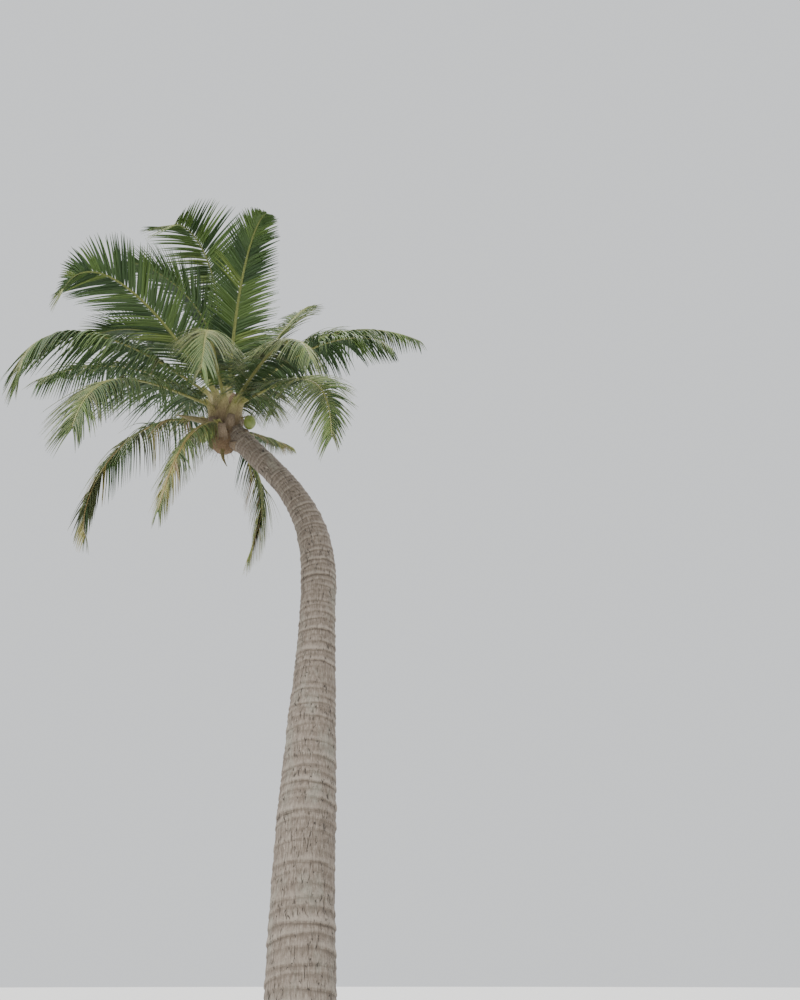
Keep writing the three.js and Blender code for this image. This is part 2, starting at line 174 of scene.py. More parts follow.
def cubic_curve(knots: Sequence[Array], count: int) -> Array:
    """Places on a cubic curve that leaves the first of four knots towards the second and ends at the last.

    A place at a share w of the curve weighs the knots by (1 - w)^3, 3 w (1 - w)^2, 3 w^2 (1 - w) and w^3.

    Args:
        knots: The four knots.
        count: How many places.

    Returns:
        The places, one a row.
    """
    w = np.linspace(0.0, 1.0, count)
    weights = np.stack([(1 - w) ** 3, 3 * w * (1 - w) ** 2, 3 * w**2 * (1 - w), w**3], axis=-1)
    return weights @ np.array(knots)


def walked_line(steps: Array, known: Array, wanted: Array) -> Array:
    """Places, at the wanted measures, on a line walked from the origin in steps between known measures."""
    stops = np.concatenate([np.zeros((1, 3)), np.cumsum(steps, axis=0)])
    return np.stack([np.interp(wanted, known, stops[:, axis]) for axis in range(3)], axis=-1)


@dataclass(frozen=True)
class WrappedNoise:
    """Noise on a skin that closes on itself: random levels on a grid of cells, eased between the corners.

    Attributes:
        cell: Length of a cell along the skin.
        cells_round: How many cells lie round the skin.
        seed: Seed of the random levels.
    """

    cell: float
    cells_round: int
    seed: int

    def level(self, along: Array, turn: Array) -> Array:
        """The noise at places on the skin.

        Args:
            along: Distance along the skin.
            turn: Place round the skin, where 1 is a full turn.

        Returns:
            Levels from 0 to 1, in the shape that along and turn have together.
        """
        rows, places = np.asarray(along, float) / self.cell, np.asarray(turn, float) * self.cells_round
        row, place = np.floor(rows).astype(int), np.floor(places).astype(int)
        row_ease, place_ease = smooth(0.0, 1.0, rows - row), smooth(0.0, 1.0, places - place)
        lowest = int(row.min())
        shape = (int(row.max()) - lowest + 2, self.cells_round)
        levels = np.random.default_rng(self.seed).random(shape)
        low, left, right = row - lowest, place % self.cells_round, (place + 1) % self.cells_round
        here = mix(levels[low, left], levels[low, right], place_ease)
        beyond = mix(levels[low + 1, left], levels[low + 1, right], place_ease)
        return mix(here, beyond, row_ease)


@dataclass
class Surface:
    """A mesh as arrays, before it becomes an object.

    Attributes:
        points: One place a row.
        faces: Four point numbers a row, of which a triangle's last is NO_POINT.
        finish: The number of the finish that each face wears, or one number for them all.
        marks: Named values that finishes read, one a point.
    """

    points: Array
    faces: Array
    finish: Array | int = 0
    marks: dict[str, Array] = field(default_factory=dict)

    @staticmethod
    def joined(surfaces: Sequence[Surface]) -> Surface:
        """Several surfaces as one.

        Args:
            surfaces: The surfaces, which all carry the same marks.

        Returns:
            One surface with their points, faces, finishes and marks in order.
        """
        starts = np.cumsum([0] + [len(s.points) for s in surfaces[:-1]])
        faces = [np.where(s.faces < 0, NO_POINT, s.faces + start) for s, start in zip(surfaces, starts)]
        return Surface(
            points=np.concatenate([s.points for s in surfaces]),
            faces=np.concatenate(faces),
            finish=np.concatenate([np.broadcast_to(s.finish, len(s.faces)) for s in surfaces]),
            marks={name: np.concatenate([s.marks[name] for s in surfaces]) for name in surfaces[0].marks},
        )

    @staticmethod
    def skin(rings: Array, marks: dict[str, Array] | None = None) -> Surface:
        """A closed skin over rings of points, with a fan over either end.

        The rings' points run from the across direction towards the upward one. Across x upward points the way
        that the rings follow each other, so the faces point outwards.

        Args:
            rings: Points in the shape (rings, sides, 3).
            marks: Named values in the shape (rings, sides).

        Returns:
            The skin.
        """
        count, sides = rings.shape[:2]

        def with_ends(values: Array) -> Array:
            """The values of all rings, and their means over the first ring and the last."""
            return np.concatenate([values.reshape(-1, *values.shape[2:]), values[[0, -1]].mean(axis=1)])

        numbers = np.arange(count * sides).reshape(count, sides)
        beside = np.roll(numbers, -1, axis=1)
        walls = np.stack([numbers[:-1], beside[:-1], beside[1:], numbers[1:]], axis=-1)
        first, last = count * sides, count * sides + 1
        bottom = np.stack(np.broadcast_arrays(first, beside[0], numbers[0], NO_POINT), axis=-1)
        top = np.stack(np.broadcast_arrays(last, numbers[-1], beside[-1], NO_POINT), axis=-1)
        faces = np.concatenate([walls.reshape(-1, 4), bottom, top])
        held = {name: with_ends(values) for name, values in (marks or {}).items()}
        return Surface(with_ends(rings), faces, marks=held)

    @staticmethod
    def strips(sections: Array, finish: Array) -> Surface:
        """Many closed strips of the same make, each with a flat face over either end.

        Args:
            sections: Points in the shape (strips, stations, sides, 3), with three or four sides.
            finish: The number of the finish of each strip.

        Returns:
            All the strips as one surface.
        """
        count, stations, sides = sections.shape[:3]
        numbers = np.arange(count * stations * sides).reshape(count, stations, sides)
        beside = np.roll(numbers, -1, axis=2)
        walls = np.stack([numbers[:, :-1], beside[:, :-1], beside[:, 1:], numbers[:, 1:]], axis=-1)
        ends = np.full((count, 2, 4), NO_POINT)
        ends[:, 0, :sides] = numbers[:, 0, ::-1]
        ends[:, 1, :sides] = numbers[:, -1]
        faces = np.concatenate([walls.reshape(count, -1, 4), ends], axis=1)
        return Surface(sections.reshape(-1, 3), faces.reshape(-1, 4), np.repeat(finish, faces.shape[1]))


def make_object(name: str, surface: Surface, finishes: Sequence[Material]) -> Object:
    """Makes a surface an object of the scene, at the origin, with its place in its mesh.

    Args:
        name: The object's name.
        surface: Its mesh as arrays.
        finishes: Its finishes, in the order that the surface's finish numbers give.

    Returns:
        The object.
    """
    mesh = bpy.data.meshes.new(name)
    held = surface.faces >= 0
    sizes = held.sum(axis=1)
    mesh.vertices.add(len(surface.points))
    mesh.vertices.foreach_set("co", surface.points.astype(np.float32).ravel())
    mesh.loops.add(int(sizes.sum()))
    mesh.loops.foreach_set("vertex_index", surface.faces[held].astype(np.int32))
    mesh.polygons.add(len(sizes))
    mesh.polygons.foreach_set("loop_start", (np.cumsum(sizes) - sizes).astype(np.int32))
    for finish in finishes:
        mesh.materials.append(finish)
    numbers = np.broadcast_to(surface.finish, len(sizes)).astype(np.int32)
    mesh.polygons.foreach_set("material_index", numbers)
    mesh.update(calc_edges=True)
    for mark, values in surface.marks.items():
        kind, entry = ("FLOAT_VECTOR", "vector") if values.ndim == 2 else ("FLOAT", "value")
        attribute = mesh.attributes.new(mark, kind, "POINT")
        attribute.data.foreach_set(entry, values.astype(np.float32).ravel())
    mesh.validate()
    made = bpy.data.objects.new(name, mesh)
    bpy.context.scene.collection.objects.link(made)
    return made


def make_piece(name: str, surface: Surface, finishes: Sequence[Material], slot: Slot, *nodes: str) -> Object:
    """Makes a surface a piece of the palm, softly shaded, that rides with it.

    Args:
        name: The piece's name.
        surface: Its mesh as arrays.
        finishes: Its finishes, in the order that the surface's finish numbers give.
        slot: Not used.
        nodes: The plain solids that it stands for.

    Returns:
        The object.
    """
    piece = make_object(name, surface, finishes)
    piece.data.shade_smooth()
    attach(piece, BODY)
    if nodes:
        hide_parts(*nodes)
    log.info("%s: %d points, %d faces", name, len(surface.points), len(surface.faces))
    return piece


@dataclass(frozen=True)
class Pattern:
    """A noise pattern on a finish.

    Attributes:
        scale: Patterns a metre.
        detail: How many finer layers it has.
        rough: How strong the finer layers are.
        along: Its scale along Z, as a share of the above.
        across: Its scale across Z, as a share of the above.
    """

    scale: float
    detail: float
    rough: float = 0.6
    along: float = 1.0
    across: float = 1.0


class Shader:
    """A material's node tree while it is being put together."""

    def __init__(self, name: str, roughness: float) -> None:
        """Starts a material with one principled shader.

        Args:
            name: The material's name.
            roughness: The shader's roughness.
        """
        self.material = bpy.data.materials.new(name)
        self.material.use_nodes = True
        self.nodes = self.material.node_tree.nodes
        self.links = self.material.node_tree.links
        self.surface = self.nodes["Principled BSDF"]
        self.surface.inputs["Roughness"].default_value = roughness

    def node(self, kind: str, inputs: dict[str | int, object], **settings: object) -> bpy.types.Node:
        """Adds a node.

        Args:
            kind: The node's type.
            inputs: Output sockets, values or colours for its inputs, by name or number.
            settings: Values for its own properties.

        Returns:
            The node.
        """
        made = self.nodes.new(kind)
        for name, value in settings.items():
            setattr(made, name, value)
        for name, value in inputs.items():
            socket = made.inputs[name]
            if isinstance(value, Socket):
                self.links.new(value, socket)
            else:
                socket.default_value = (*value, 1.0) if socket.type == "RGBA" else value
        return made

    def mark(self, name: str, output: str = "Fac") -> Socket:
        """The output that reads one of the mesh's marks."""
        return self.node("ShaderNodeAttribute", {}, attribute_name=name).outputs[output]

    def place(self, along: float = 1.0, across: float = 1.0, source: Socket | None = None) -> Socket:
        """Scaled coordinates.

        Args:
            along: The scale along Z.
            across: The scale across it.
            source: The output with the coordinates, if they aren't the object's own.

        Returns:
            The output with the scaled ones.
        """
        held = source or self.node("ShaderNodeTexCoord", {}).outputs["Object"]
        values = {"Vector": held, "Scale": (across, across, along)}
        return self.node("ShaderNodeMapping", values).outputs["Vector"]

    def noise(self, pattern: Pattern, source: Socket | None = None) -> Socket:
        """A noise pattern's level, from 0 to 1.

        Args:
            pattern: The pattern.
            source: The output with its coordinates, if they aren't the object's own.

        Returns:
            The output with the level.
        """
        values = {
            "Vector": self.place(pattern.along, pattern.across, source),
            "Scale": pattern.scale,
            "Detail": pattern.detail,
            "Roughness": pattern.rough,
        }
        return self.node("ShaderNodeTexNoise", values).outputs["Fac"]

    def ramp(self, value: Socket, stops: Stops) -> Socket:
        """Colours laid along a value.

        Args:
            value: The value that is read.
            stops: Pairs of a place from 0 to 1 and a linear colour.

        Returns:
            The colour output.
        """
        made = self.node("ShaderNodeValToRGB", {"Fac": value})
        elements = made.color_ramp.elements
        while len(elements) < len(stops):
            elements.new(1.0)
        for element, (place, colour) in zip(elements, stops):
            element.position = place
            element.color = (*colour, 1.0)
        return made.outputs["Color"]

    def swayed(self, vector: Socket, scale: float, reach: float) -> Socket:
        """Coordinates that a noise pushes about.

        Args:
            vector: The coordinates.
            scale: The noise's patterns a metre.
            reach: The furthest push.

        Returns:
            The output with the new coordinates.
        """
        push = self.node("ShaderNodeTexNoise", {"Vector": vector, "Scale": scale, "Detail": 2.0})
        values = {0: push.outputs["Color"], 1: (reach, reach, reach), 2: vector}
        return self.node("ShaderNodeVectorMath", values, operation="MULTIPLY_ADD").outputs["Vector"]

    def fissures(self, vector: Socket, scale: float) -> Socket:
        """A level that is 0 in the joints between irregular cells and rises away from them."""
        values = {"Vector": vector, "Scale": scale}
        return self.node("ShaderNodeTexVoronoi", values, feature="DISTANCE_TO_EDGE").outputs["Distance"]

    def maths(self, operation: str, a: Socket, b: Socket) -> Socket:
        """The outcome of one sum."""
        return self.node("ShaderNodeMath", {0: a, 1: b}, operation=operation).outputs["Value"]

    def blend(self, share: Socket, a: Socket, b: Colour, kind: str = "MIX") -> Socket:
        """A colour that goes from a to b, or to a times b, as the share goes from 0 to 1."""
        values = {0: share, 6: a, 7: b}
        return self.node("ShaderNodeMix", values, data_type="RGBA", blend_type=kind).outputs[2]

    def level(self, value: Socket, source: Span, target: Span) -> Socket:
        """A value carried evenly from one span to another, and held at its ends.

        Args:
            value: The value.
            source: The span that it comes in.
            target: The span that it is carried to.

        Returns:
            The output with the new value.
        """
        names = ("From Min", "From Max", "To Min", "To Max")
        made = self.node("ShaderNodeMapRange", {"Value": value, **dict(zip(names, (*source, *target)))})
        return made.outputs["Result"]

    def bump(self, height: Socket, strength: float, distance: float) -> None:
        """Raises the surface by a pattern, by up to the distance in metres."""
        made = self.node("ShaderNodeBump", {"Height": height, "Strength": strength, "Distance": distance})
        self.links.new(made.outputs["Normal"], self.surface.inputs["Normal"])

    def colour(self, source: Socket) -> None:
        """Gives the surface its colour."""
        self.links.new(source, self.surface.inputs["Base Color"])

    def roughness(self, source: Socket) -> None:
        """Gives the surface its roughness."""
        self.links.new(source, self.surface.inputs["Roughness"])


@dataclass(frozen=True)
class BarkFinish:
    """Weathered palm bark: grey-brown, dark in its cracks, pale on its scars, blotched with lichen, and
    darkened by painted shade in the hollow under each scar's ledge.

    Attributes:
        fissure_stretch: The fissures' scale along the trunk, as a share of that round it.
        lichen_cover: How far lichen covers the wood. The other covers are the same for their layers.
    """

    dark: Colour = (0.080, 0.061, 0.045)
    middle: Colour = (0.165, 0.133, 0.104)
    pale: Colour = (0.300, 0.258, 0.210)
    lichen: Colour = (0.270, 0.278, 0.225)
    crack: Colour = (0.024, 0.018, 0.013)
    streaks: Pattern = Pattern(62.0, 9.0, 0.72, along=0.22)
    blotches: Pattern = Pattern(3.4, 7.0, 0.70, along=0.5)
    fissure_width: Pattern = Pattern(24.0, 4.0, along=0.4)
    grain: Pattern = Pattern(120.0, 8.0, 0.75, along=0.16)
    hoops: Pattern = Pattern(95.0, 4.0, across=0.12)
    fissure_scale: float = 48.0
    fissure_stretch: float = 0.12
    sway_scale: float = 38.0
    sway: float = 0.016
    lichen_cover: float = 0.45
    scar_cover: float = 0.60
    # How dark the painted shade in the hollow under each scar's ledge gets.
    painted_shade_cover: float = 0.85
    fissure_cover: float = 0.92
    crack_cover: float = 0.80
    relief: float = 0.006

    def material(self) -> Material:
        """Builds the material, whose patterns lie on the trunk as if it were straight.

        Returns:
            The material.
        """
        shader = Shader("bark", 0.9)
        straight = shader.mark("straight", "Vector")
        streaks = shader.noise(self.streaks, straight)
        blotches = shader.noise(self.blotches, straight)
        upright = shader.place(self.fissure_stretch, source=straight)
        joints = shader.fissures(shader.swayed(upright, self.sway_scale, self.sway), self.fissure_scale)
        width = shader.level(shader.noise(self.fissure_width, straight), (0.50, 0.76), (0.002, 0.14))
        sound = shader.level(shader.maths("DIVIDE", joints, width), (0.20, 1.0), (0.0, 1.0))
        layers = (
            (shader.level(blotches, (0.52, 0.70), (0.0, self.lichen_cover)), self.lichen),
            (shader.level(shader.mark("scar"), (0.30, 1.0), (0.0, self.scar_cover)), self.pale),
            # Painted shade: the bark is darkened in the hollow under each scar's ledge, as if in its shadow.
            (shader.level(shader.mark("hollow"), (0.10, 1.0), (0.0, self.painted_shade_cover)), self.dark),
            (shader.level(sound, (0.0, 1.0), (self.fissure_cover, 0.0)), self.crack),
            (shader.level(shader.mark("crack"), (0.15, 0.9), (0.0, self.crack_cover)), self.crack),
        )
        colour = shader.ramp(streaks, ((0.30, self.dark), (0.50, self.middle), (0.72, self.pale)))
        for share, over in layers:
            colour = shader.blend(share, colour, over)
        shader.colour(colour)
        shader.roughness(shader.level(streaks, (0.2, 0.8), (0.96, 0.80)))
        texture = shader.maths("ADD", shader.noise(self.grain, straight), shader.noise(self.hoops, straight))
        shader.bump(shader.maths("MULTIPLY", texture, sound), 0.9, self.relief)
        return shader.material


@dataclass(frozen=True)
class LeafletFinish:
    """A plain leaf colour with a waxy gloss that varies along the blade, and fine creases."""

    tint: Tint
    roughness: float = 0.46
    creases: Pattern = Pattern(160.0, 2.0)
    relief: float = 0.001

    def material(self) -> Material:
        """Builds the material.

        Returns:
            The material.
        """
        shader = Shader(f"leaflet_{self.tint.name.lower()}", self.roughness)
        shader.surface.inputs["Base Color"].default_value = (*self.tint.value, 1.0)
        creases = shader.noise(self.creases)
        shader.roughness(shader.level(creases, (0.3, 0.7), (self.roughness - 0.07, self.roughness + 0.10)))
        shader.bump(creases, 0.25, self.relief)
        return shader.material


@dataclass(frozen=True)
class GrainFinish:
    """A finish with grain along Z: two colours in streaks, and flecks of a third.

    Attributes:
        low: Colour of the streaks' low side.
        high: Colour of their high side.
        fleck: Colour of the flecks.
        fleck_share: How far the flecks cover the rest.
        roughness: The middle roughness.
        scale: Streaks a metre across the grain.
        stretch: The streaks' scale along the grain, as a share of that across it.
        relief: How far the grain stands out.
        fleck_scale: The flecks' scale, as a share of the streaks'.
    """

    name: str
    low: Colour
    high: Colour
    fleck: Colour
    fleck_share: float
    roughness: float
    scale: float
    stretch: float
    relief: float
    fleck_scale: float = 0.45

    def material(self) -> Material:
        """Builds the material.

        Returns:
            The material.
        """
        shader = Shader(self.name, self.roughness)
        streaks = shader.noise(Pattern(self.scale, 4.0, along=self.stretch))
        flecks = shader.noise(Pattern(self.scale * self.fleck_scale, 3.0))
        body = shader.ramp(streaks, ((0.32, self.low), (0.68, self.high)))
        share = shader.level(flecks, (0.55, 0.72), (0.0, self.fleck_share))
        shader.colour(shader.blend(share, body, self.fleck))
        shader.roughness(shader.level(streaks, (0.2, 0.8), (self.roughness + 0.12, self.roughness - 0.10)))
        shader.bump(streaks, 0.5, self.relief)
        return shader.material


@dataclass(frozen=True)
class StalkFinish:
    """Leaf tissue whose colour changes along the piece, with grain along it.

    Attributes:
        stops: Pairs of a share of the piece's length and the colour there.
        roughness: The middle roughness.
        shade: The colour that the grain's low side is multiplied by.
        relief: How far the grain stands out.
    """

    name: str
    stops: Stops
    roughness: float
    shade: Colour = (0.52, 0.48, 0.42)
    grain: Pattern = Pattern(70.0, 6.0, 0.65, along=0.3)
    relief: float = 0.0015

    def material(self) -> Material:
        """Builds the material.

        Returns:
            The material.
        """
        shader = Shader(self.name, self.roughness)
        body = shader.ramp(shader.mark("share"), self.stops)
        grain = shader.noise(self.grain)
        low = shader.level(grain, (0.62, 0.32), (0.0, 1.0))
        shader.colour(shader.blend(low, body, self.shade, "MULTIPLY"))
        shader.roughness(shader.level(grain, (0.2, 0.8), (self.roughness + 0.12, self.roughness - 0.08)))
        shader.bump(grain, 0.5, self.relief)
        return shader.material


@dataclass(frozen=True)
class StudioFinish:
    """The pale matt floor, with a faint unevenness."""

    colour: Colour = (0.70, 0.69, 0.67)
    darker: float = 0.96
    patches: Pattern = Pattern(0.6, 3.0)

    def material(self) -> Material:
        """Builds the material.

        Returns:
            The material.
        """
        shader = Shader("studio_floor", 0.85)
        dark = tuple(self.darker * part for part in self.colour)
        shader.colour(shader.ramp(shader.noise(self.patches), ((0.3, dark), (0.7, self.colour))))
        return shader.material


@dataclass(frozen=True)
class Trunk:
    """The trunk: it leans back from a swollen foot and bends sideways under the crown.

    The lean is measured from plumb, back along +Y and sideways towards -X. Places along the trunk are
    distances from the cut at ground level. A pair is a span: of such places, of shares of the way from one
    leaf scar to the next, of a noise's levels, or of seeded factors.

    Attributes:
        level_below: The height by which the rings have turned from level to square with the trunk.
        meets_at: Where its lengths of bark meet.
        tilt_fades_from: The share of the height from which the scars' tilt fades.
        tilt_left: The share of the tilt that stays.
        scar_wobble: Pairs of how far a scar strays up and down, and how many times in a full turn.
        far_side: How prominent a scar is on the side away from its leaf.
        side_power: How fast it grows towards the leaf's side.
        ledge_left: The share of a ledge that is left below the next scar.
        rough_foot: How much more the bark stands out at the foot, and the height over which that wears off.
        calm_neck: The share of the relief that is left at the neck.
        seam_restart: How far round the cracks are set off above each scar, in full turns.
        seam_restarts: After how many scars that starts anew.
        seam_sway: How far they sway, in full turns.
        seam_patchiness: How much more cracked some patches are.
    """

    length: float = 8.08
    back_lean_at_foot: float = 17.0
    back_lean_at_top: float = 8.0
    back_lean_settles: float = 7.0
    side_lean: float = 1.0
    side_lean_at_foot: float = 3.0
    foot_straightens: Span = (1.5, 2.5)
    crown_bend: float = 41.0
    crown_bend_between: Span = (5.05, 7.45)
    neck_radius: float = 0.138
    upper_swell: float = 0.054
    upper_swell_ends: Span = (5.6, 7.0)
    lower_swell: float = 0.080
    lower_swell_ends: Span = (2.5, 5.0)
    foot_flare: float = 0.170
    foot_flare_height: float = 0.5
    level_below: float = 0.6
    line_step: float = 0.05
    columns: int = 300
    row_step: float = 0.0090
    meets_at: Span = (2.69, 5.38)
    crease_angle: float = 75.0
    scar_spacing_low: float = 0.112
    scar_spacing_high: float = 0.050
    scar_spacing_varies: Span = (0.82, 1.18)
    scar_tilt: float = 0.017
    scar_tilt_varies: Span = (0.6, 1.25)
    tilt_fades_from: float = 0.25
    tilt_left: float = 0.35
    scar_wobble: tuple[Span, ...] = ((0.004, 3.0), (0.0025, 7.0))
    wobble_phases: Span = (0.0, 6.28)
    far_side: float = 0.45
    side_power: float = 1.3
    scar_varies: Span = (0.55, 1.25)
    ledge_rises: Span = (0.0, 0.12)
    ledge_falls: Span = (0.12, 0.85)
    ledge_left: float = 0.1
    # Where the painted shade in the hollow under each scar's ledge deepens and ends, as shares of the way
    # between scars.
    painted_shade_deepens: Span = (0.55, 0.95)
    painted_shade_ends: Span = (0.97, 1.0)
    crack_opens: Span = (0.02, 0.35)
    crack_closes: Span = (0.65, 0.98)
    crack_levels: Span = (0.70, 0.92)
    scar_relief: float = 0.0105
    lump_relief: float = 0.020
    knob_relief: float = 0.007
    pore_relief: float = 0.003
    crack_depth: float = 0.0075
    rough_foot: Span = (0.9, 0.45)
    calm_neck: float = 0.6
    calm_neck_between: Span = (5.5, 7.5)
    small_lump_share: float = 0.35
    small_seam_share: float = 0.4
    seam_restart: float = 0.37
    seam_restarts: int = 7
    seam_sway: float = 0.018
    seam_patchiness: float = 0.25
    seed: int = 11
    lumps: WrappedNoise = WrappedNoise(0.34, 5, 12)
    small_lumps: WrappedNoise = WrappedNoise(0.15, 9, 13)
    knobs: WrappedNoise = WrappedNoise(0.055, 26, 14)
    pores: WrappedNoise = WrappedNoise(0.020, 72, 15)
    seams: WrappedNoise = WrappedNoise(0.16, 104, 16)
    small_seams: WrappedNoise = WrappedNoise(0.07, 59, 17)
    seam_patches: WrappedNoise = WrappedNoise(0.26, 9, 18)
    seam_drift: WrappedNoise = WrappedNoise(0.035, 37, 19)

    def direction(self, s: Array) -> Array:
        """The way that the trunk runs.

        Args:
            s: Distances along it.

        Returns:
            A direction for each distance.
        """
        settled = smooth(0.0, self.back_lean_settles, s)
        back = np.radians(mix(self.back_lean_at_foot, self.back_lean_at_top, settled))
        foot = self.side_lean_at_foot * (1.0 - smooth(*self.foot_straightens, s))
        bend = self.crown_bend * smooth(*self.crown_bend_between, s)
        side = np.radians(self.side_lean + foot + bend)
        return np.stack([-np.sin(side), np.sin(back) * np.cos(side), np.cos(back) * np.cos(side)], axis=-1)

    def radius(self, s: Array) -> Array:
        """The mean radius: the neck's, two swellings that ease out upwards, and a flare that decays.

        Args:
            s: Distances along the trunk.

        Returns:
            The radius at each.
        """
        upper = self.upper_swell * (1.0 - smooth(*self.upper_swell_ends, s))
        lower = self.lower_swell * (1.0 - smooth(*self.lower_swell_ends, s))
        flare = self.foot_flare * np.exp(-np.asarray(s) / self.foot_flare_height)
        return self.neck_radius + upper + lower + flare

    def line(self, s: Array) -> Array:
        """The middle of the trunk: its direction, summed in short straight steps from the origin.

        Args:
            s: Distances along it.

        Returns:
            A place for each distance.
        """
        starts = np.arange(0.0, self.length, self.line_step)
        steps = self.direction(starts + self.line_step / 2.0) * self.line_step
        return walked_line(steps, np.arange(len(steps) + 1) * self.line_step, s)

    def end(self) -> Array:
        """The middle of the trunk's upper end, inside the heart."""
        return self.line(np.array([self.length]))[0]

    def scar_lines(self, turn: Array) -> tuple[Array, Array]:
        """Where the leaf scars run round the trunk.

        Each scar is a ring at its own height, tilted by a cosine towards its own leaf's side, with a slight
        wobble. The sides follow each other by the golden turn.

        Args:
            turn: Places round the trunk, from 0 to 1.

        Returns:
            The height of each scar at each place, and how prominent it is there. The shape of both is
            (scars, places).
        """
        rng = np.random.default_rng(self.seed)
        heights = [-self.scar_spacing_low]
        while heights[-1] < self.length + self.scar_spacing_low:
            share = max(0.0, heights[-1]) / self.length
            spacing = mix(self.scar_spacing_low, self.scar_spacing_high, share)
            heights.append(heights[-1] + spacing * rng.uniform(*self.scar_spacing_varies))
        count = len(heights)
        height = np.array(heights)[:, None]
        angle = FULL_TURN * turn
        facing = np.cos(angle - np.arange(count)[:, None] * GOLDEN_TURN)
        tilt = self.scar_tilt * rng.uniform(*self.scar_tilt_varies, (count, 1))
        fading = np.clip(1.0 + self.tilt_fades_from - height / self.length, self.tilt_left, 1.0)
        lines = height - tilt * fading * facing
        for stray, waves in self.scar_wobble:
            lines = lines + stray * np.cos(waves * angle + rng.uniform(*self.wobble_phases, (count, 1)))
        own_side = mix(self.far_side, 1.0, ((1.0 + facing) / 2.0) ** self.side_power)
        return lines, own_side * rng.uniform(*self.scar_varies, (count, 1))

    def relief(self, s: Array, turn: Array) -> tuple[Array, dict[str, Array]]:
        """How far the bark stands out from the mean radius.

        Above each scar line the bark steps out and then falls back slowly to the next one. Lumps, knobs and
        pores are wrapped noise. Cracks are the high places of another noise, which is stretched along the
        trunk and starts anew above each scar, and they taper off towards the scars at both their ends.

        Args:
            s: Distances along the trunk, in rising order.
            turn: Places round it, from 0 to 1.

        Returns:
            The height of the relief, and the marks for scars, the painted shade in the hollows below them
            and cracks, all in the shape (places along it, places round it).
        """
        lines, prominence = self.scar_lines(turn)
        rows = s[:, None]
        below = np.clip((lines[:, None] < rows).sum(axis=0) - 1, 0, len(lines) - 2)
        column = np.broadcast_to(np.arange(len(turn)), below.shape)
        low, high = lines[below, column], lines[below + 1, column]
        share = np.clip((rows - low) / (high - low), 0.0, 1.0)
        falling = mix(1.0, self.ledge_left, smooth(*self.ledge_falls, share))
        scar = smooth(*self.ledge_rises, share) * falling * prominence[below, column]
        # The hollow mark: where painted shade darkens the bark, under the ledge of the next scar up.
        hollow = plateau(self.painted_shade_deepens, self.painted_shade_ends, share) * prominence[below + 1, column]
        lumps = mix(self.lumps.level(rows, turn), self.small_lumps.level(rows, turn), self.small_lump_share)
        sway = self.seam_sway * (self.seam_drift.level(rows, turn) - 0.5)
        place = turn + self.seam_restart * (below % self.seam_restarts) + sway
        seams = mix(self.seams.level(rows, place), self.small_seams.level(rows, place), self.small_seam_share)
        seams = seams + self.seam_patchiness * (self.seam_patches.level(rows, turn) - 0.5)
        crack = smooth(*self.crack_levels, seams) * plateau(self.crack_opens, self.crack_closes, share)
        foot = 1.0 + self.rough_foot[0] * np.exp(-rows / self.rough_foot[1])
        height = mix(1.0, self.calm_neck, smooth(*self.calm_neck_between, rows)) * (
            self.scar_relief * scar
            + self.lump_relief * (lumps - 0.5)
            + self.knob_relief * foot * (self.knobs.level(rows, turn) - 0.5)
            + self.pore_relief * (self.pores.level(rows, turn) - 0.5)
            - self.crack_depth * foot * crack
        )
        return height, {"scar": scar, "hollow": hollow, "crack": crack}

    def stretch(self, low: float, high: float) -> Surface:
        """The bark between two distances along the trunk, closed at both ends.

        Args:
            low: Where it starts.
            high: Where it ends.

        Returns:
            The surface, with its scars, the painted shade in its hollows, its cracks and its place on the
            straightened trunk as marks.
        """
        s = np.linspace(low, high, 1 + round((high - low) / self.row_step))
        height, marks = self.relief(s, turns(self.columns))
        radius = np.broadcast_to(self.radius(s)[:, None], height.shape)
        axis = unit(mix(UP, self.direction(s), smooth(0.0, self.level_below, s)[:, None]))
        points = rings_round(self.line(s), *square_to(axis, RIGHT), radius + height)
        marks["straight"] = rings_round(UP * s[:, None], RIGHT, BACK, radius)
        return Surface.skin(points, marks)

    def build(self, bark: Material) -> list[Object]:
        """Makes the trunk's three lengths of bark, which meet end to end.

        Args:
            bark: Their finish.

        Returns:
            The pieces, from the foot up.
        """
        ends = (0.0, *self.meets_at, self.length)
        pieces = []
        for name, low, high in zip(("trunk_lower", "trunk_middle", "trunk_upper"), ends, ends[1:]):
            piece = make_piece(name, self.stretch(low, high), [bark], Slot.BARK, "trunk")
            piece.data.set_sharp_from_angle(angle=math.radians(self.crease_angle))
            pieces.append(piece)
        return pieces


@dataclass(frozen=True)
class Habit:
    """How a frond bends and hangs, and the leaf colours that its leaflets are dealt.

    Attributes:
        bend: The power that the droop follows along the rib.
        hang: How far the leaflets hang.
        blade: The longest leaflet's length.
        spread: A share of the leaflets' angle to the rib.
        jitter: How uneven the leaflets are.
        tints: The weight of each leaf colour.
        narrowing: How many degrees of the angle to the rib are gone at the tip.
        lift: The leaflets' angle above the frond's face near the stalk.
    """

    age: Age
    bend: float
    hang: float
    blade: float
    spread: float
    jitter: float
    tints: dict[Tint, float]
    narrowing: float = 46.0
    lift: float = 22.0


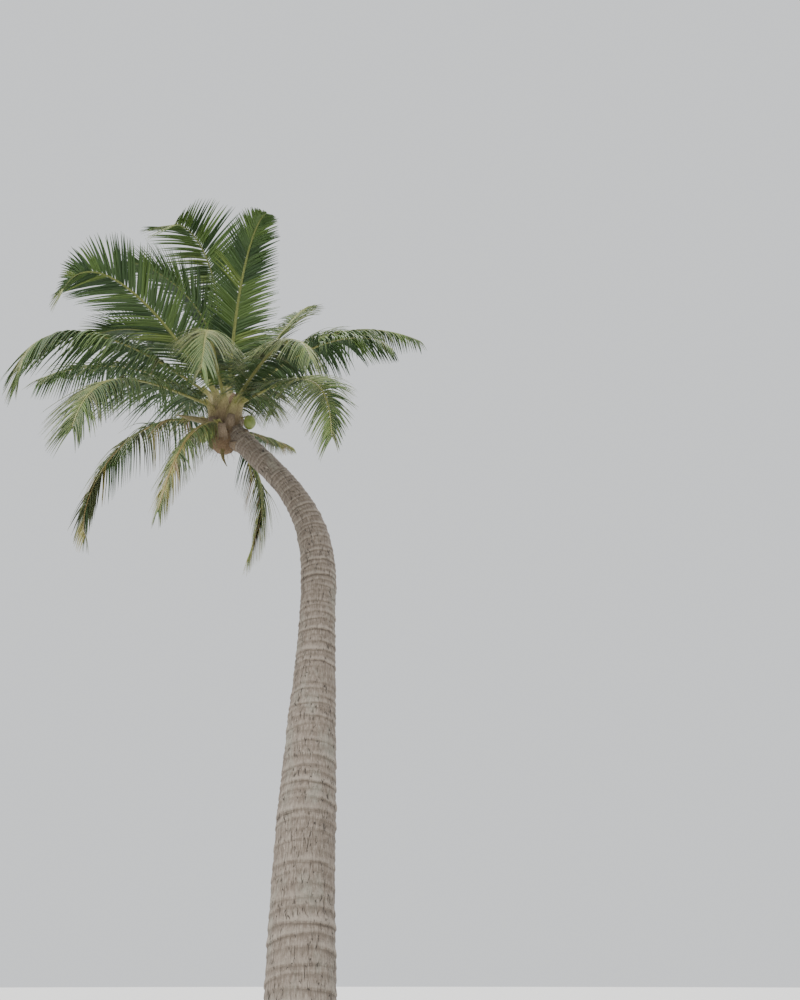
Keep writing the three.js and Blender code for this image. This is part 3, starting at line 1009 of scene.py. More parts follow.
YOUNG_TINTS = {Tint.FRESH: 1, Tint.BRIGHT: 4, Tint.MIDDLE: 5, Tint.DEEP: 2}
GROWN_TINTS = {Tint.BRIGHT: 2, Tint.MIDDLE: 5, Tint.DEEP: 5, Tint.DULL: 1}
OLD_TINTS = {Tint.MIDDLE: 3, Tint.DEEP: 2, Tint.DULL: 4, Tint.YELLOWING: 2, Tint.DRY: 1.5}
YOUNG = Habit(Age.YOUNG, bend=2.0, hang=0.2, blade=0.70, spread=0.8, jitter=0.6, tints=YOUNG_TINTS)
GROWN = Habit(Age.GROWN, bend=1.8, hang=1.1, blade=0.70, spread=1.0, jitter=1.0, tints=GROWN_TINTS)
OLD = Habit(Age.OLD, bend=2.0, hang=2.0, blade=0.60, spread=1.0, jitter=1.4, tints=OLD_TINTS)

# From this droop on, a frond bends round a wide gap and stands for two solids.
SPLIT_DROOP = 70.0
# The share of a rib's length that is a bare stalk.
STALK = 0.14
# How far from the heart's axis a rib starts.
RIB_START = 0.040


@dataclass(frozen=True)
class Course:
    """Places along a rib, and the directions there.

    Attributes:
        point: The rib's middle.
        ahead: The way that it runs.
        above: Square to it, out of the frond's upper face.
        beside: Square to both, to the frond's right seen from its base.
    """

    point: Array
    ahead: Array
    above: Array
    beside: Array


@dataclass(frozen=True)
class Frond:
    """One frond: where it leaves the heart, how it bends, and how its leaflets hang.

    The azimuth is measured from +X towards +Y, and the height from the foot of the heart's axis. At a share t
    of its length the rib rises by rise - droop * t ** bend, runs at azimuth + sweep * t, and has rolled by
    roll * t about itself.
    """

    number: int
    habit: Habit
    azimuth: float
    rise: float
    droop: float
    length: float
    height: float
    sweep: float = 0.0
    roll: float = 0.0
    steps: int = 192

    @property
    def name(self) -> str:
        """The frond's plain name."""
        return f"frond_{self.number:02d}"

    def nodes(self) -> list[str]:
        """The plain solids that it stands for: two where it bends round a wide gap."""
        return [self.name] if self.droop < SPLIT_DROOP else [f"{self.name}_inner", f"{self.name}_outer"]

    def directions(self, t: Array) -> tuple[Array, Array, Array]:
        """The rib's directions.

        Args:
            t: Shares of its length.

        Returns:
            The directions ahead, above and beside at each share.
        """
        rise = np.radians(self.rise - self.droop * t**self.habit.bend)[..., None]
        azimuth = np.radians(self.azimuth + self.sweep * t)
        roll = np.radians(self.roll * t)[..., None]
        level, beside = level_direction(azimuth), level_direction(azimuth - math.pi / 2.0)
        ahead = level * np.cos(rise) + UP * np.sin(rise)
        above = UP * np.cos(rise) - level * np.sin(rise)
        cosine, sine = np.cos(roll), np.sin(roll)
        return ahead, above * cosine - beside * sine, beside * cosine + above * sine

    def course(self, axis: Array, t: Array) -> Course:
        """The rib: its direction, summed in short straight steps from near the heart's axis.

        Args:
            axis: The foot of the heart's axis.
            t: Shares of its length.

        Returns:
            The rib's places and directions at each share.
        """
        middles = (np.arange(self.steps) + 0.5) / self.steps
        steps = self.directions(middles)[0] * (self.length / self.steps)
        start = axis + UP * self.height + level_direction(np.radians(self.azimuth)) * RIB_START
        point = start + walked_line(steps, np.arange(self.steps + 1) / self.steps, t)
        return Course(point, *self.directions(t))


# Number, habit, azimuth, rise, droop, length and height, and where they aren't 0, sweep and roll.
FRONDS = [
    Frond(1, YOUNG, 205, 78, 80, 2.60, 0.44),
    Frond(2, YOUNG, 100, 70, 50, 3.20, 0.42),
    Frond(3, replace(YOUNG, bend=5.0, blade=0.90, spread=1.0, narrowing=20), 240, 76, 150, 2.95, 0.36),
    Frond(4, replace(YOUNG, blade=0.52, spread=0.85, narrowing=60), 278, 52, 90, 2.90, 0.40, 18, 12),
    Frond(5, replace(GROWN, bend=2.8, blade=0.64, hang=0.35, narrowing=68), 47, 66, 17, 3.30, 0.44, 28, 6),
    Frond(6, YOUNG, 178, 62, 90, 2.60, 0.37),
    Frond(7, YOUNG, 142, 60, 60, 3.40, 0.35),
    Frond(8, replace(GROWN, blade=0.60, hang=0.9, narrowing=66), 35, 62, 45, 3.30, 0.38),
    Frond(9, replace(YOUNG, blade=0.71, narrowing=40), 236, 28, 105, 3.30, 0.33, 20, -52),
    Frond(10, replace(GROWN, blade=0.56), 350, 46, 100, 2.60, 0.36, -15),
    Frond(11, replace(GROWN, blade=0.52, hang=1.6, narrowing=54, lift=10), 15, 61, 75, 3.45, 0.34, 5),
    Frond(12, GROWN, 270, 2, 84, 3.30, 0.33, 18),
    Frond(13, replace(GROWN, blade=0.85, hang=1.4, spread=0.85), 203, 28, 128, 3.30, 0.38, 38),
    Frond(14, GROWN, 118, 48, 55, 3.40, 0.30),
    Frond(15, replace(GROWN, blade=0.66, hang=0.8, narrowing=30), 315, -8, 75, 3.40, 0.32, -20, -55),
    Frond(16, GROWN, 165, 42, 60, 3.40, 0.26),
    Frond(17, GROWN, 298, 2, 65, 3.30, 0.23),
    Frond(18, replace(GROWN, blade=0.84, hang=1.0, narrowing=36), 228, -8, 77, 3.05, 0.29, 38),
    Frond(19, GROWN, 88, 50, 40, 3.40, 0.20),
    Frond(20, replace(OLD, blade=0.66, hang=2.3), 151, 26, 156, 3.70, 0.13, -12),
    Frond(21, replace(OLD, bend=1.0, blade=0.54, hang=2.6), 263, -29, 42, 3.10, 0.10, 12),
    Frond(22, replace(OLD, blade=0.36, hang=0.6, spread=0.35), 75, 28, 4, 2.70, 0.06, 5),
    Frond(23, replace(OLD, bend=2.8, blade=0.66, hang=2.8, spread=0.55), 72, 7, 39, 3.45, -0.06, 44),
]


@dataclass(frozen=True)
class RibMaker:
    """The rib of a frond: a broad stalk, hollowed above, that narrows to a thin tip.

    Attributes:
        half_widths: Half the width at the base, at the end of the stalk and at the tip.
        half_depths: The same for the depth.
        starts_at: The share of the length where it comes out of the heart.
        hollow: How far the base is sunk in the middle, as a share of half its depth.
        hollow_fades: The shares of the length between which that ends.
        flatness: The height of the section's upper half, as a share of its lower half's depth.
    """

    half_widths: tuple[float, float, float] = (0.040, 0.024, 0.005)
    half_depths: tuple[float, float, float] = (0.026, 0.020, 0.0045)
    starts_at: float = 0.035
    hollow: float = 0.75
    hollow_fades: Span = (0.02, 0.30)
    flatness: float = 0.55
    rings: int = 72
    sides: int = 12

    def build(self, frond: Frond, axis: Array) -> Surface:
        """The rib as a closed skin.

        The section is an ellipse whose upper half is flattened, and sunk in the middle near the base.

        Args:
            frond: The frond.
            axis: The foot of the heart's axis.

        Returns:
            The surface, with the share of the length as a mark.
        """
        t = np.linspace(self.starts_at, 1.0, self.rings)
        course = frond.course(axis, t)
        places = (0.0, STALK, 1.0)
        wide, deep = (np.interp(t, places, sizes)[:, None] for sizes in (self.half_widths, self.half_depths))
        angle = FULL_TURN * turns(self.sides)
        side, up = np.cos(angle), np.sin(angle)
        fading = 1.0 - smooth(*self.hollow_fades, t)[:, None]
        lift = np.where(up > 0.0, self.flatness * up, up) - self.hollow * fading * np.clip(up, 0.0, 1.0) ** 2
        upward = course.above[:, None] * (lift * deep)[..., None]
        sideways = course.beside[:, None] * (side * wide)[..., None]
        share = np.broadcast_to(t[:, None], lift.shape)
        return Surface.skin(course.point[:, None] + (upward - sideways), {"share": share})


@dataclass(frozen=True)
class LeafletMaker:
    """The leaflets of a frond and their midribs.

    They stand off the rib at the wide angle near the stalk and at a narrow one near the tip, lift above the
    frond's face, and hang towards their tips. Each blade is folded along its midrib, with its edges below it.

    Attributes:
        stands_between: The shares of the rib's leafy part where the first and the last leaflet stand.
        stagger: How far each side is set off from these, one way or the other, as such a share.
        shift: How far a leaflet strays from its place, as a share of the pace between two.
        spray: The fewest leaflets in a spray, and one more than the most.
        alone: How much of the unevenness is each leaflet's own.
        together: How much of it a spray shares.
        open_varies: How much the angle to the rib varies.
        lift_varies: How much the lift varies.
        length_phase: Where on a half wave the leaflets' length starts, as a share of it.
        length_span: How much of the half wave it follows.
        length_power: The power of the wave that it follows.
        length_varies: How much the length varies, as a share of it.
        hang_varies: How much the hang varies, as a share of it.
        base_width: The width at the rib, as a share of the plain one.
        widens_to: The share of the length by which it has widened.
        taper_power: The power that the width follows to the tip.
        short_width: The share of the width that doesn't shrink with a leaflet's length.
        fold: How far the edges lie below the ridge, as a share of half the width.
        flattening: The share of the fold and of the thickness that is gone at the tip.
        midrib: Half a midrib's width at the rib.
        midrib_height: How far it stands out, as a share of that.
        midrib_taper: The share of both that is gone at the tip.
        stations: Shares of a leaflet's length where it has a section.
    """

    per_side: int = 100
    stands_between: Span = (0.005, 0.995)
    stagger: float = 0.005
    shift: float = 0.38
    spray: tuple[int, int] = (3, 9)
    alone: float = 0.75
    together: float = 0.85
    wide_angle: float = 74.0
    narrowing_power: float = 1.6
    open_varies: float = 2.6
    lift_loss: float = 10.0
    lift_varies: float = 4.0
    length_phase: float = 0.2
    length_span: float = 0.7
    length_power: float = 0.7
    length_varies: float = 0.04
    length_limits: Span = (0.75, 1.06)
    hang_varies: float = 0.16
    hang_limits: Span = (0.35, 1.8)
    droop_power: float = 1.8
    half_width: float = 0.0207
    tip_half_width: float = 0.0012
    base_width: float = 0.45
    widens_to: float = 0.18
    taper_power: float = 0.75
    short_width: float = 0.55
    fold: float = 0.42
    flattening: float = 0.7
    thickness: float = 0.0022
    midrib: float = 0.0019
    midrib_height: float = 1.6
    midrib_taper: float = 0.75
    stations: tuple[float, ...] = (0.0, 0.05, 0.12, 0.20, 0.30, 0.40, 0.50, 0.60, 0.70, 0.80, 0.89, 0.96, 1.0)

    def build(self, frond: Frond, axis: Array, rng: np.random.Generator) -> Surface:
        """The leaflets of one frond.

        At a share u of the rib's leafy part, a leaflet's angle to the rib is wide_angle - narrowing * u **
        narrowing_power, and its length is the longest one's times a power of a sine, which is that of pi *
        (length_phase + length_span * u).

        Args:
            frond: The frond.
            axis: The foot of the heart's axis.
            rng: Where the unevenness comes from.

        Returns:
            Blades and midribs as one surface, with leaf colours as finish numbers.
        """
        habit = frond.habit
        side = np.repeat([-1.0, 1.0], self.per_side)
        even = np.tile(np.linspace(*self.stands_between, self.per_side), 2)
        pace = (self.stands_between[1] - self.stands_between[0]) / self.per_side
        astray = rng.uniform(-self.shift, self.shift, len(side)) * pace
        share = np.clip(even + side * self.stagger + astray, 0.0, 1.0)
        course = frond.course(axis, mix(STALK, 1.0, share))
        sprays = self.deal_sprays(rng)
        alone = rng.normal(0.0, 1.0, (4, len(side)))
        together = rng.normal(0.0, 1.0, (4, sprays.max() + 1))[:, sprays]
        uneven = habit.jitter * (self.alone * alone + self.together * together)
        angle = self.wide_angle - habit.narrowing * share**self.narrowing_power
        open_by = habit.spread * np.radians(angle + self.open_varies * uneven[0])[:, None]
        lift = np.radians(habit.lift - self.lift_loss * share + self.lift_varies * uneven[1])[:, None]
        outward = course.beside * side[:, None] * np.cos(lift) + course.above * np.sin(lift)
        stand = course.ahead * np.cos(open_by) + outward * np.sin(open_by)
        size = np.sin(math.pi * (self.length_phase + self.length_span * share)) ** self.length_power
        size = size * np.clip(1.0 + self.length_varies * uneven[2], *self.length_limits)
        hang = habit.hang * np.clip(1.0 + self.hang_varies * uneven[3], *self.hang_limits)
        lines = self.middle_lines(course, stand, habit.blade * size, hang)
        tint = self.deal_tints(habit, sprays, rng)
        return Surface.joined([self.blades(course, lines, size, tint), self.midribs(course, lines)])

    def middle_lines(self, course: Course, stand: Array, length: Array, hang: Array) -> Array:
        """The leaflets' middle lines.

        For q from 0 at the rib to 1, a line is its standing direction times q, and hang times q **
        droop_power downwards from there, all scaled to the leaflet's length.

        Args:
            course: The rib where the leaflets stand.
            stand: The direction that each leaves the rib in.
            length: Each one's length.
            hang: How far each one hangs.

        Returns:
            Places in the shape (leaflets, stations, 3).
        """
        q = np.array(self.stations)[:, None]
        path = stand[:, None] * q - UP * (hang[:, None, None] * q**self.droop_power)
        reach = np.linalg.norm(np.diff(path, axis=1), axis=-1).sum(axis=1)
        return course.point[:, None] + path * (length / reach)[:, None, None]

    def directions(self, course: Course, lines: Array) -> tuple[Array, Array]:
        """The directions across each blade and out of its ridge.

        Args:
            course: The rib where the leaflets stand.
            lines: The leaflets' middle lines.

        Returns:
            Both at each station, with the ridge on the frond's upper side.
        """
        across, ridge = square_to(unit(np.gradient(lines, axis=1)), course.ahead[:, None])
        facing = np.where(dot(ridge, course.above[:, None]) < 0.0, -1.0, 1.0)
        return across * facing, ridge * facing

    def blades(self, course: Course, lines: Array, size: Array, tint: Array) -> Surface:
        """The folded blades: each section has its two edges, its ridge and the underside of its ridge.

        Args:
            course: The rib where the leaflets stand.
            lines: The leaflets' middle lines.
            size: Each one's length as a share of the longest.
            tint: The number of each one's finish.

        Returns:
            The blades as one surface.
        """
        across, ridge = self.directions(course, lines)
        q = np.array(self.stations)
        plain = mix(self.base_width, 1.0, smooth(0.0, self.widens_to, q)) * (1.0 - q) ** self.taper_power
        half = self.half_width * plain * np.minimum(mix(self.short_width, 1.0, size), 1.0)[:, None]
        half = np.maximum(half, self.tip_half_width)[..., None]
        slimming = (1.0 - self.flattening * q)[:, None]
        edge = -ridge * (half * self.fold * slimming)
        right, left = lines + across * half + edge, lines - across * half + edge
        rise = ridge * (self.thickness / 2.0 * slimming)
        return Surface.strips(np.stack([right, lines + rise, left, lines - rise], axis=2), tint)

    def midribs(self, course: Course, lines: Array) -> Surface:
        """The pale midribs: thin three-sided strips along the ridges, for most of each leaflet's length.

        Args:
            course: The rib where the leaflets stand.
            lines: The leaflets' middle lines.

        Returns:
            The midribs as one surface.
        """
        across, ridge = self.directions(course, lines)
        thin = self.midrib * (1.0 - self.midrib_taper * np.array(self.stations))[:, None]
        base = lines + ridge * self.thickness / 4.0
        crest = base + ridge * (self.midrib_height * thin)
        sections = np.stack([base + across * thin, crest, base - across * thin], axis=2)
        return Surface.strips(sections[:, :-1], np.full(len(lines), TINT_ORDER.index(Tint.MIDRIB)))

    def deal_sprays(self, rng: np.random.Generator) -> Array:
        """The number of the spray that each leaflet belongs to."""
        sizes = rng.integers(*self.spray, 2 * self.per_side)
        return np.repeat(np.arange(len(sizes)), sizes)[: 2 * self.per_side]

    @staticmethod
    def deal_tints(habit: Habit, sprays: Array, rng: np.random.Generator) -> Array:
        """Leaf colours, dealt by spray.

        Args:
            habit: What weighs the colours.
            sprays: The number of each leaflet's spray.
            rng: What deals them.

        Returns:
            The number of each leaflet's finish.
        """
        numbers = [TINT_ORDER.index(tint) for tint in habit.tints]
        weights = np.array(list(habit.tints.values()), float)
        return rng.choice(numbers, size=sprays.max() + 1, p=weights / weights.sum())[sprays]


@dataclass(frozen=True)
class Heart:
    """The heart of the crown: clasping leaf bases over a core of fibre, turned about a plumb axis.

    Attributes:
        offset: From the trunk's end to the axis.
        profile: Pairs of a height above the trunk's end and a radius.
        core_share: The core's radius, as a share of the profile's.
        pole_gap: How far the first and the last ring stay from the poles, as a share of the way between them.
        folds: The upright folds of the core.
        fold_rest: The level of the folds at which it keeps its radius.
        rags: Its ragged surface.
    """

    offset: tuple[float, float, float] = (-0.075, 0.018, 0.0)
    profile: tuple[Span, ...] = (
        (-0.330, 0.0),
        (-0.310, 0.090),
        (-0.210, 0.185),
        (-0.060, 0.225),
        (0.150, 0.225),
        (0.330, 0.205),
        (0.470, 0.165),
        (0.560, 0.100),
        (0.590, 0.0),
    )
    core_share: float = 0.95
    rows: int = 90
    columns: int = 120
    pole_gap: float = 0.012
    folds: WrappedNoise = WrappedNoise(0.22, 26, 23)
    fold_depth: float = 0.10
    fold_rest: float = 0.6
    rags: WrappedNoise = WrappedNoise(0.03, 60, 24)
    rag_depth: float = 0.035

    @property
    def widest(self) -> float:
        """The heart's greatest radius."""
        return max(radius for _, radius in self.profile)

    def axis(self, trunk: Trunk) -> Array:
        """The foot of the heart's axis, level with the trunk's end."""
        return trunk.end() + np.array(self.offset)

    def radius(self, height: Array) -> Array:
        """The heart's radius at each height, straight between the profile's points."""
        return np.interp(height, *np.array(self.profile).T)

    def core(self, axis: Array) -> Surface:
        """The matted core: the heart's profile, a little smaller, with upright folds and a ragged surface.

        Args:
            axis: The foot of the heart's axis.

        Returns:
            The surface.
        """
        level = np.linspace(self.pole_gap, 1.0 - self.pole_gap, self.rows)[:, None]
        height = mix(self.profile[0][0], self.profile[-1][0], 0.5 - 0.5 * np.cos(math.pi * level))
        turn = turns(self.columns)
        folds = self.fold_depth * (self.folds.level(height, turn) - self.fold_rest)
        rags = self.rag_depth * (self.rags.level(height, turn) - 0.5)
        half = self.core_share * self.radius(height) * (1.0 + folds + rags)
        return Surface.skin(rings_round(axis + UP * height, RIGHT, BACK, half))


@dataclass(frozen=True)
class LeafBaseMaker:
    """The leaf bases: each clasps the heart as a curved plate and narrows upwards into its frond's stalk.

    Attributes:
        plate_clasp: Half the angle of the plate's arc.
        stalk_clasp: The same where it has become the stalk.
        joins_at: The share of the rib's length where it joins the stalk.
        drop: How far below the frond's root it starts.
        feet_between: The lowest and the highest place for that.
        closes: The shares of its length between which it closes into the stalk.
        foot_width: The width at its foot, as a share of the plate's.
        foot_widens: The shares of its length between which it widens from that.
        leans: How far it runs straight up at first, and along the stalk at last, as shares of the way.
        stoutness: The share of its thickness that it has as a plate, and as a stalk.
        sunk: How far the highest leaf base is sunk into the heart.
        overlap: How much further out the lowest one lies.
    """

    plate_half_width: float = 0.135
    stalk_half_width: float = 0.041
    plate_clasp: float = 46.0
    stalk_clasp: float = 80.0
    thickness: float = 0.016
    edge_thickness: float = 0.003
    joins_at: float = 0.115
    drop: float = 0.34
    feet_between: Span = (-0.27, 0.30)
    closes: Span = (0.05, 0.85)
    foot_width: float = 0.55
    foot_widens: Span = (0.0, 0.16)
    leans: Span = (0.42, 0.38)
    stoutness: Span = (0.6, 1.5)
    sunk: float = 0.004
    overlap: float = 0.012
    rings: int = 30
    across: int = 15

    def build(self, frond: Frond, heart: Heart, axis: Array, rank: float) -> Surface:
        """One leaf base.

        Its middle follows a cubic curve from low on the heart, straight up at first, into the stalk. Its
        section is an arc that closes from a wide clasp round the heart to a narrow hollow stalk.

        Args:
            frond: The frond that it carries.
            heart: The heart that it clasps.
            axis: The foot of the heart's axis.
            rank: The frond's place in the crown, from 0 at the top to 1 at the bottom.

        Returns:
            The surface, with the share of its length as a mark.
        """
        foot_height = float(np.clip(frond.height - self.drop, *self.feet_between))
        reach = float(heart.radius(foot_height)) - self.sunk + self.overlap * rank
        foot = axis + UP * foot_height + level_direction(np.radians(frond.azimuth)) * reach
        rib = frond.course(axis, np.array([self.joins_at]))
        end = rib.point[0]
        up_first, along_last = (lean * np.linalg.norm(end - foot) for lean in self.leans)
        middle = cubic_curve([foot, foot + UP * up_first, end - rib.ahead[0] * along_last, end], self.rings)
        w = np.linspace(0.0, 1.0, self.rings)
        closing = smooth(*self.closes, w)
        half = mix(self.plate_half_width, self.stalk_half_width, closing)
        half = half * mix(self.foot_width, 1.0, smooth(*self.foot_widens, w))
        clasp = mix(self.plate_clasp, self.stalk_clasp, closing)
        return self.plate(middle, rib.beside[0], half, clasp, mix(*self.stoutness, closing))

    def plate(self, middle: Array, beside: Array, half: Array, clasp: Array, stoutness: Array) -> Surface:
        """A curved plate along a line, whose sections are arcs with thin edges.

        Args:
            middle: Places along the middle of its outer face.
            beside: Roughly the way that its width runs.
            half: Half its width at each place.
            clasp: Half the angle of the arc at each place.
            stoutness: A share of its thickness at each place.

        Returns:
            The surface, with the share of its length as a mark.
        """
        beside, outer = square_to(unit(np.gradient(middle, axis=0)), beside)
        turn = np.radians(clasp)[:, None]
        bow = half[:, None] / np.sin(turn)
        v = np.linspace(-1.0, 1.0, self.across)
        thick = mix(self.edge_thickness, self.thickness, 1.0 - v**2) * stoutness[:, None]
        faces = []
        for bowed in (bow, bow - thick):
            x, y = bowed * np.sin(turn * v), bowed * np.cos(turn * v) - bow
            faces.append(middle[:, None] + beside[:, None] * x[..., None] + outer[:, None] * y[..., None])
        rings = np.concatenate([faces[0], faces[1][:, ::-1]], axis=1)[:, ::-1]
        w = np.linspace(0.0, 1.0, len(middle))
        return Surface.skin(rings, {"share": np.broadcast_to(w[:, None], rings.shape[:2])})


@dataclass(frozen=True)
class StubMaker:
    """The stubs of shed leaves: torn plates that clasp the lower heart and the top of the trunk.

    Attributes:
        plates: What makes their sections.
        on_heart: How many clasp the heart.
        heart_heights: Between which heights these stand.
        on_trunk: How many clasp the trunk.
        trunk_places: Between which distances along the trunk these stand.
        slope_reach: How far below and above its foot a stub reads the heart's slope.
        torn: The shares of the length between which the width falls to the torn end's.
        foot_width: The width at the foot, as a share of the half_width's.
        foot_widens: The shares of the length between which it widens from that.
        thinning: The share of the thickness that is gone at the torn end.
        sunk: How far the feet are sunk into what they clasp.
    """

    plates: LeafBaseMaker = LeafBaseMaker()
    on_heart: int = 15
    heart_heights: Span = (-0.295, -0.03)
    on_trunk: int = 10
    trunk_places: Span = (7.62, 7.82)
    slope_reach: Span = (0.01, 0.04)
    half_width: float = 0.088
    half_width_varies: Span = (0.8, 1.1)
    torn_half_width: float = 0.050
    torn: Span = (0.30, 1.0)
    foot_width: float = 0.6
    foot_widens: Span = (0.0, 0.2)
    thinning: float = 0.3
    clasp: float = 31.0
    length: float = 0.19
    length_varies: Span = (0.65, 1.15)
    flare: float = 0.040
    flare_varies: Span = (0.3, 1.3)
    sunk: float = 0.010
    rings: int = 14
    seed: int = 61

    def build(self, trunk: Trunk, heart: Heart, axis: Array) -> Surface:
        """All the stubs, which follow each other by the golden turn.

        Args:
            trunk: The trunk.
            heart: The heart.
            axis: The foot of the heart's axis.

        Returns:
            The stubs as one surface, with the share of their length as a mark.
        """
        rng = np.random.default_rng(self.seed)
        stubs = []
        below, above = self.slope_reach
        for number, height in enumerate(np.linspace(*self.heart_heights, self.on_heart)):
            outward = level_direction(number * GOLDEN_TURN)
            slope = (heart.radius(height + above) - heart.radius(height - below)) / (above + below)
            foot = axis + UP * height + outward * (heart.radius(height) - self.sunk)
            stubs.append(self.stub(foot, unit(UP + outward * slope), outward, rng))
        for number, s in enumerate(np.linspace(*self.trunk_places, self.on_trunk)):
            run = trunk.direction(s)
            across, upward = square_to(run, RIGHT)
            turn = number * GOLDEN_TURN
            outward = across * math.cos(turn) + upward * math.sin(turn)
            foot = trunk.line(s) + outward * (trunk.radius(s) - self.sunk)
            stubs.append(self.stub(foot, run, outward, rng))
        return Surface.joined(stubs)

    def stub(self, foot: Array, run: Array, outward: Array, rng: np.random.Generator) -> Surface:
        """One stub: it runs straight up what it clasps and flares away from it towards the torn end.

        Args:
            foot: The middle of its foot.
            run: The way that it runs at first.
            outward: Out of what it clasps.
            rng: Where its unevenness comes from.

        Returns:
            The surface, with the share of its length as a mark.
        """
        w = np.linspace(0.0, 1.0, self.rings)
        length = self.length * rng.uniform(*self.length_varies)
        flare = self.flare * rng.uniform(*self.flare_varies)
        middle = foot + run * (length * w)[:, None] + outward * (flare * w**2)[:, None]
        half = mix(self.half_width, self.torn_half_width, smooth(*self.torn, w))
        half = half * mix(self.foot_width, 1.0, smooth(*self.foot_widens, w))
        half = half * rng.uniform(*self.half_width_varies)
        clasp = np.full(self.rings, self.clasp)
        return self.plates.plate(middle, np.cross(outward, run), half, clasp, 1.0 - self.thinning * w)


@dataclass(frozen=True)
class StrandMaker:
    """Loose fibre: thin three-sided strands that lean out of the heart between the leaf bases and hang.

    Attributes:
        lengths: The shortest and the longest.
        between: The heights between which they grow.
        crowding: The power that gathers them at the lower ones.
        root_share: How far out they are rooted, as a share of the heart's radius.
        leans_out: The least and the most that they lean out, as a share of their length.
        rises: The same for how far they rise.
        droops: The same for how far they droop.
        curl: How far they curl sideways.
        taper: The share of the thickness that is gone at the tip.
        side_tilt: A small lean that gives sides to a strand that runs straight out too.
    """

    count: int = 620
    lengths: Span = (0.05, 0.17)
    thickness: float = 0.0016
    stations: int = 7
    between: Span = (-0.26, 0.34)
    crowding: float = 1.4
    root_share: float = 0.93
    leans_out: Span = (0.25, 0.85)
    rises: Span = (-0.5, 0.5)
    droops: Span = (0.5, 1.3)
    curl: float = 0.25
    taper: float = 0.8
    side_tilt: float = 0.01
    seed: int = 31

    def build(self, heart: Heart, axis: Array) -> Surface:
        """All the strands.

        A strand's line is q times a direction out and up, less q squared times its droop, with a seeded curl.

        Args:
            heart: The heart that they grow from.
            axis: The foot of its axis.

        Returns:
            The strands as one surface.
        """
        rng = np.random.default_rng(self.seed)
        one_each = (self.count, 1)
        outward = level_direction(rng.uniform(0.0, FULL_TURN, self.count))
        height = mix(*self.between, rng.random(one_each) ** self.crowding)
        root = axis + UP * height + outward * heart.radius(height) * self.root_share
        length = rng.uniform(*self.lengths, one_each)[..., None]
        q = np.linspace(0.0, 1.0, self.stations)[:, None]
        out = outward * rng.uniform(*self.leans_out, one_each) + UP * rng.uniform(*self.rises, one_each)
        curl = np.cross(UP, outward) * rng.normal(0.0, self.curl, one_each)
        droop = UP * rng.uniform(*self.droops, one_each)
        lines = root[:, None] + length * (out[:, None] * q + (curl - droop)[:, None] * q**2)
        run = unit(np.gradient(lines, axis=1))
        across = unit(np.cross(run, outward[:, None] + self.side_tilt * UP))
        half = np.broadcast_to(self.thickness * (1.0 - self.taper * q), (self.count, self.stations, 3))
        sections = rings_round(lines, across, np.cross(run, across), half)
        return Surface.strips(sections, np.zeros(self.count, int))


@dataclass(frozen=True)
class Spear:
    """The folded youngest leaf: a tall pleated spike in the middle of the crown.

    Attributes:
        leaf: The frond that it will be, which gives its course.
        taper_power: The power that its width follows to the tip's.
        pleat_depth: How deep the pleats are, as a share of half the width.
        pleat_turn: How far the pleats turn round it, in radians.
    """

    leaf: Frond = Frond(0, YOUNG, 300, 87, 12, 2.30, 0.45)
    starts_at: float = 0.03
    half_width: float = 0.030
    tip_half_width: float = 0.004
    taper_power: float = 1.15
    pleats: int = 12
    pleat_depth: float = 0.20
    pleat_turn: float = 0.5
    rings: int = 80
    sides: int = 36

    def build(self, axis: Array) -> Surface:
        """The spike: round sections with sharp pleats that turn slowly round it.

        Args:
            axis: The foot of the heart's axis.

        Returns:
            The surface.
        """
        t = np.linspace(self.starts_at, 1.0, self.rings)[:, None]
        course = self.leaf.course(axis, t[:, 0])
        pleat = np.abs(np.sin(self.pleats * (FULL_TURN * turns(self.sides) + self.pleat_turn * t) / 2.0))
        plain = mix(self.half_width, self.tip_half_width, t**self.taper_power)
        half = plain * (1.0 - self.pleat_depth + self.pleat_depth * pleat)
        return Surface.skin(rings_round(course.point, -course.beside, course.above, half))


@dataclass(frozen=True)
class FlowerSheath:
    """The closed flower sheath: a grooved spindle that stands out to the left of the heart.

    Attributes:
        height: Above the foot of the heart's axis.
        swell: The parts of a half wave that its half width starts and ends with.
        starts_at: The share of its length where it comes out of the heart.
        sag: Four times how far its middle sags.
        groove_depth: How deep the grooves are, as a share of half the width.
        groove_power: How narrow they are.
    """

    azimuth: float = 192.0
    rise: float = 6.0
    length: float = 0.640
    height: float = 0.095
    half_width: float = 0.042
    swell: Span = (0.2, 0.985)
    starts_at: float = 0.12
    sag: float = 0.035
    grooves: int = 14
    groove_depth: float = 0.045
    groove_power: float = 6.0
    rings: int = 64
    sides: int = 56

    def build(self, axis: Array) -> Surface:
        """The spindle: its half width is a sine of its length, less shallow grooves all round.

        Args:
            axis: The foot of the heart's axis.

        Returns:
            The surface.
        """
        azimuth, rise = math.radians(self.azimuth), math.radians(self.rise)
        ahead = level_direction(azimuth) * math.cos(rise) + UP * math.sin(rise)
        across = level_direction(azimuth + math.pi / 2.0)
        share = np.linspace(self.starts_at, 1.0, self.rings)[:, None]
        centres = axis + UP * self.height + ahead * (self.length * share) + UP * self.sag * (share**2 - share)
        wave = np.abs(np.cos(self.grooves * math.pi * turns(self.sides))) ** self.groove_power
        half = self.half_width * np.sin(math.pi * mix(*self.swell, share)) * (1.0 - self.groove_depth * wave)
        return Surface.skin(rings_round(centres, across, np.cross(ahead, across), half))


@dataclass(frozen=True)
class Nut:
    """One young nut: its place from the bunch's rim as sideways, outwards and down, and its radius."""

    place: tuple[float, float, float]
    radius: float


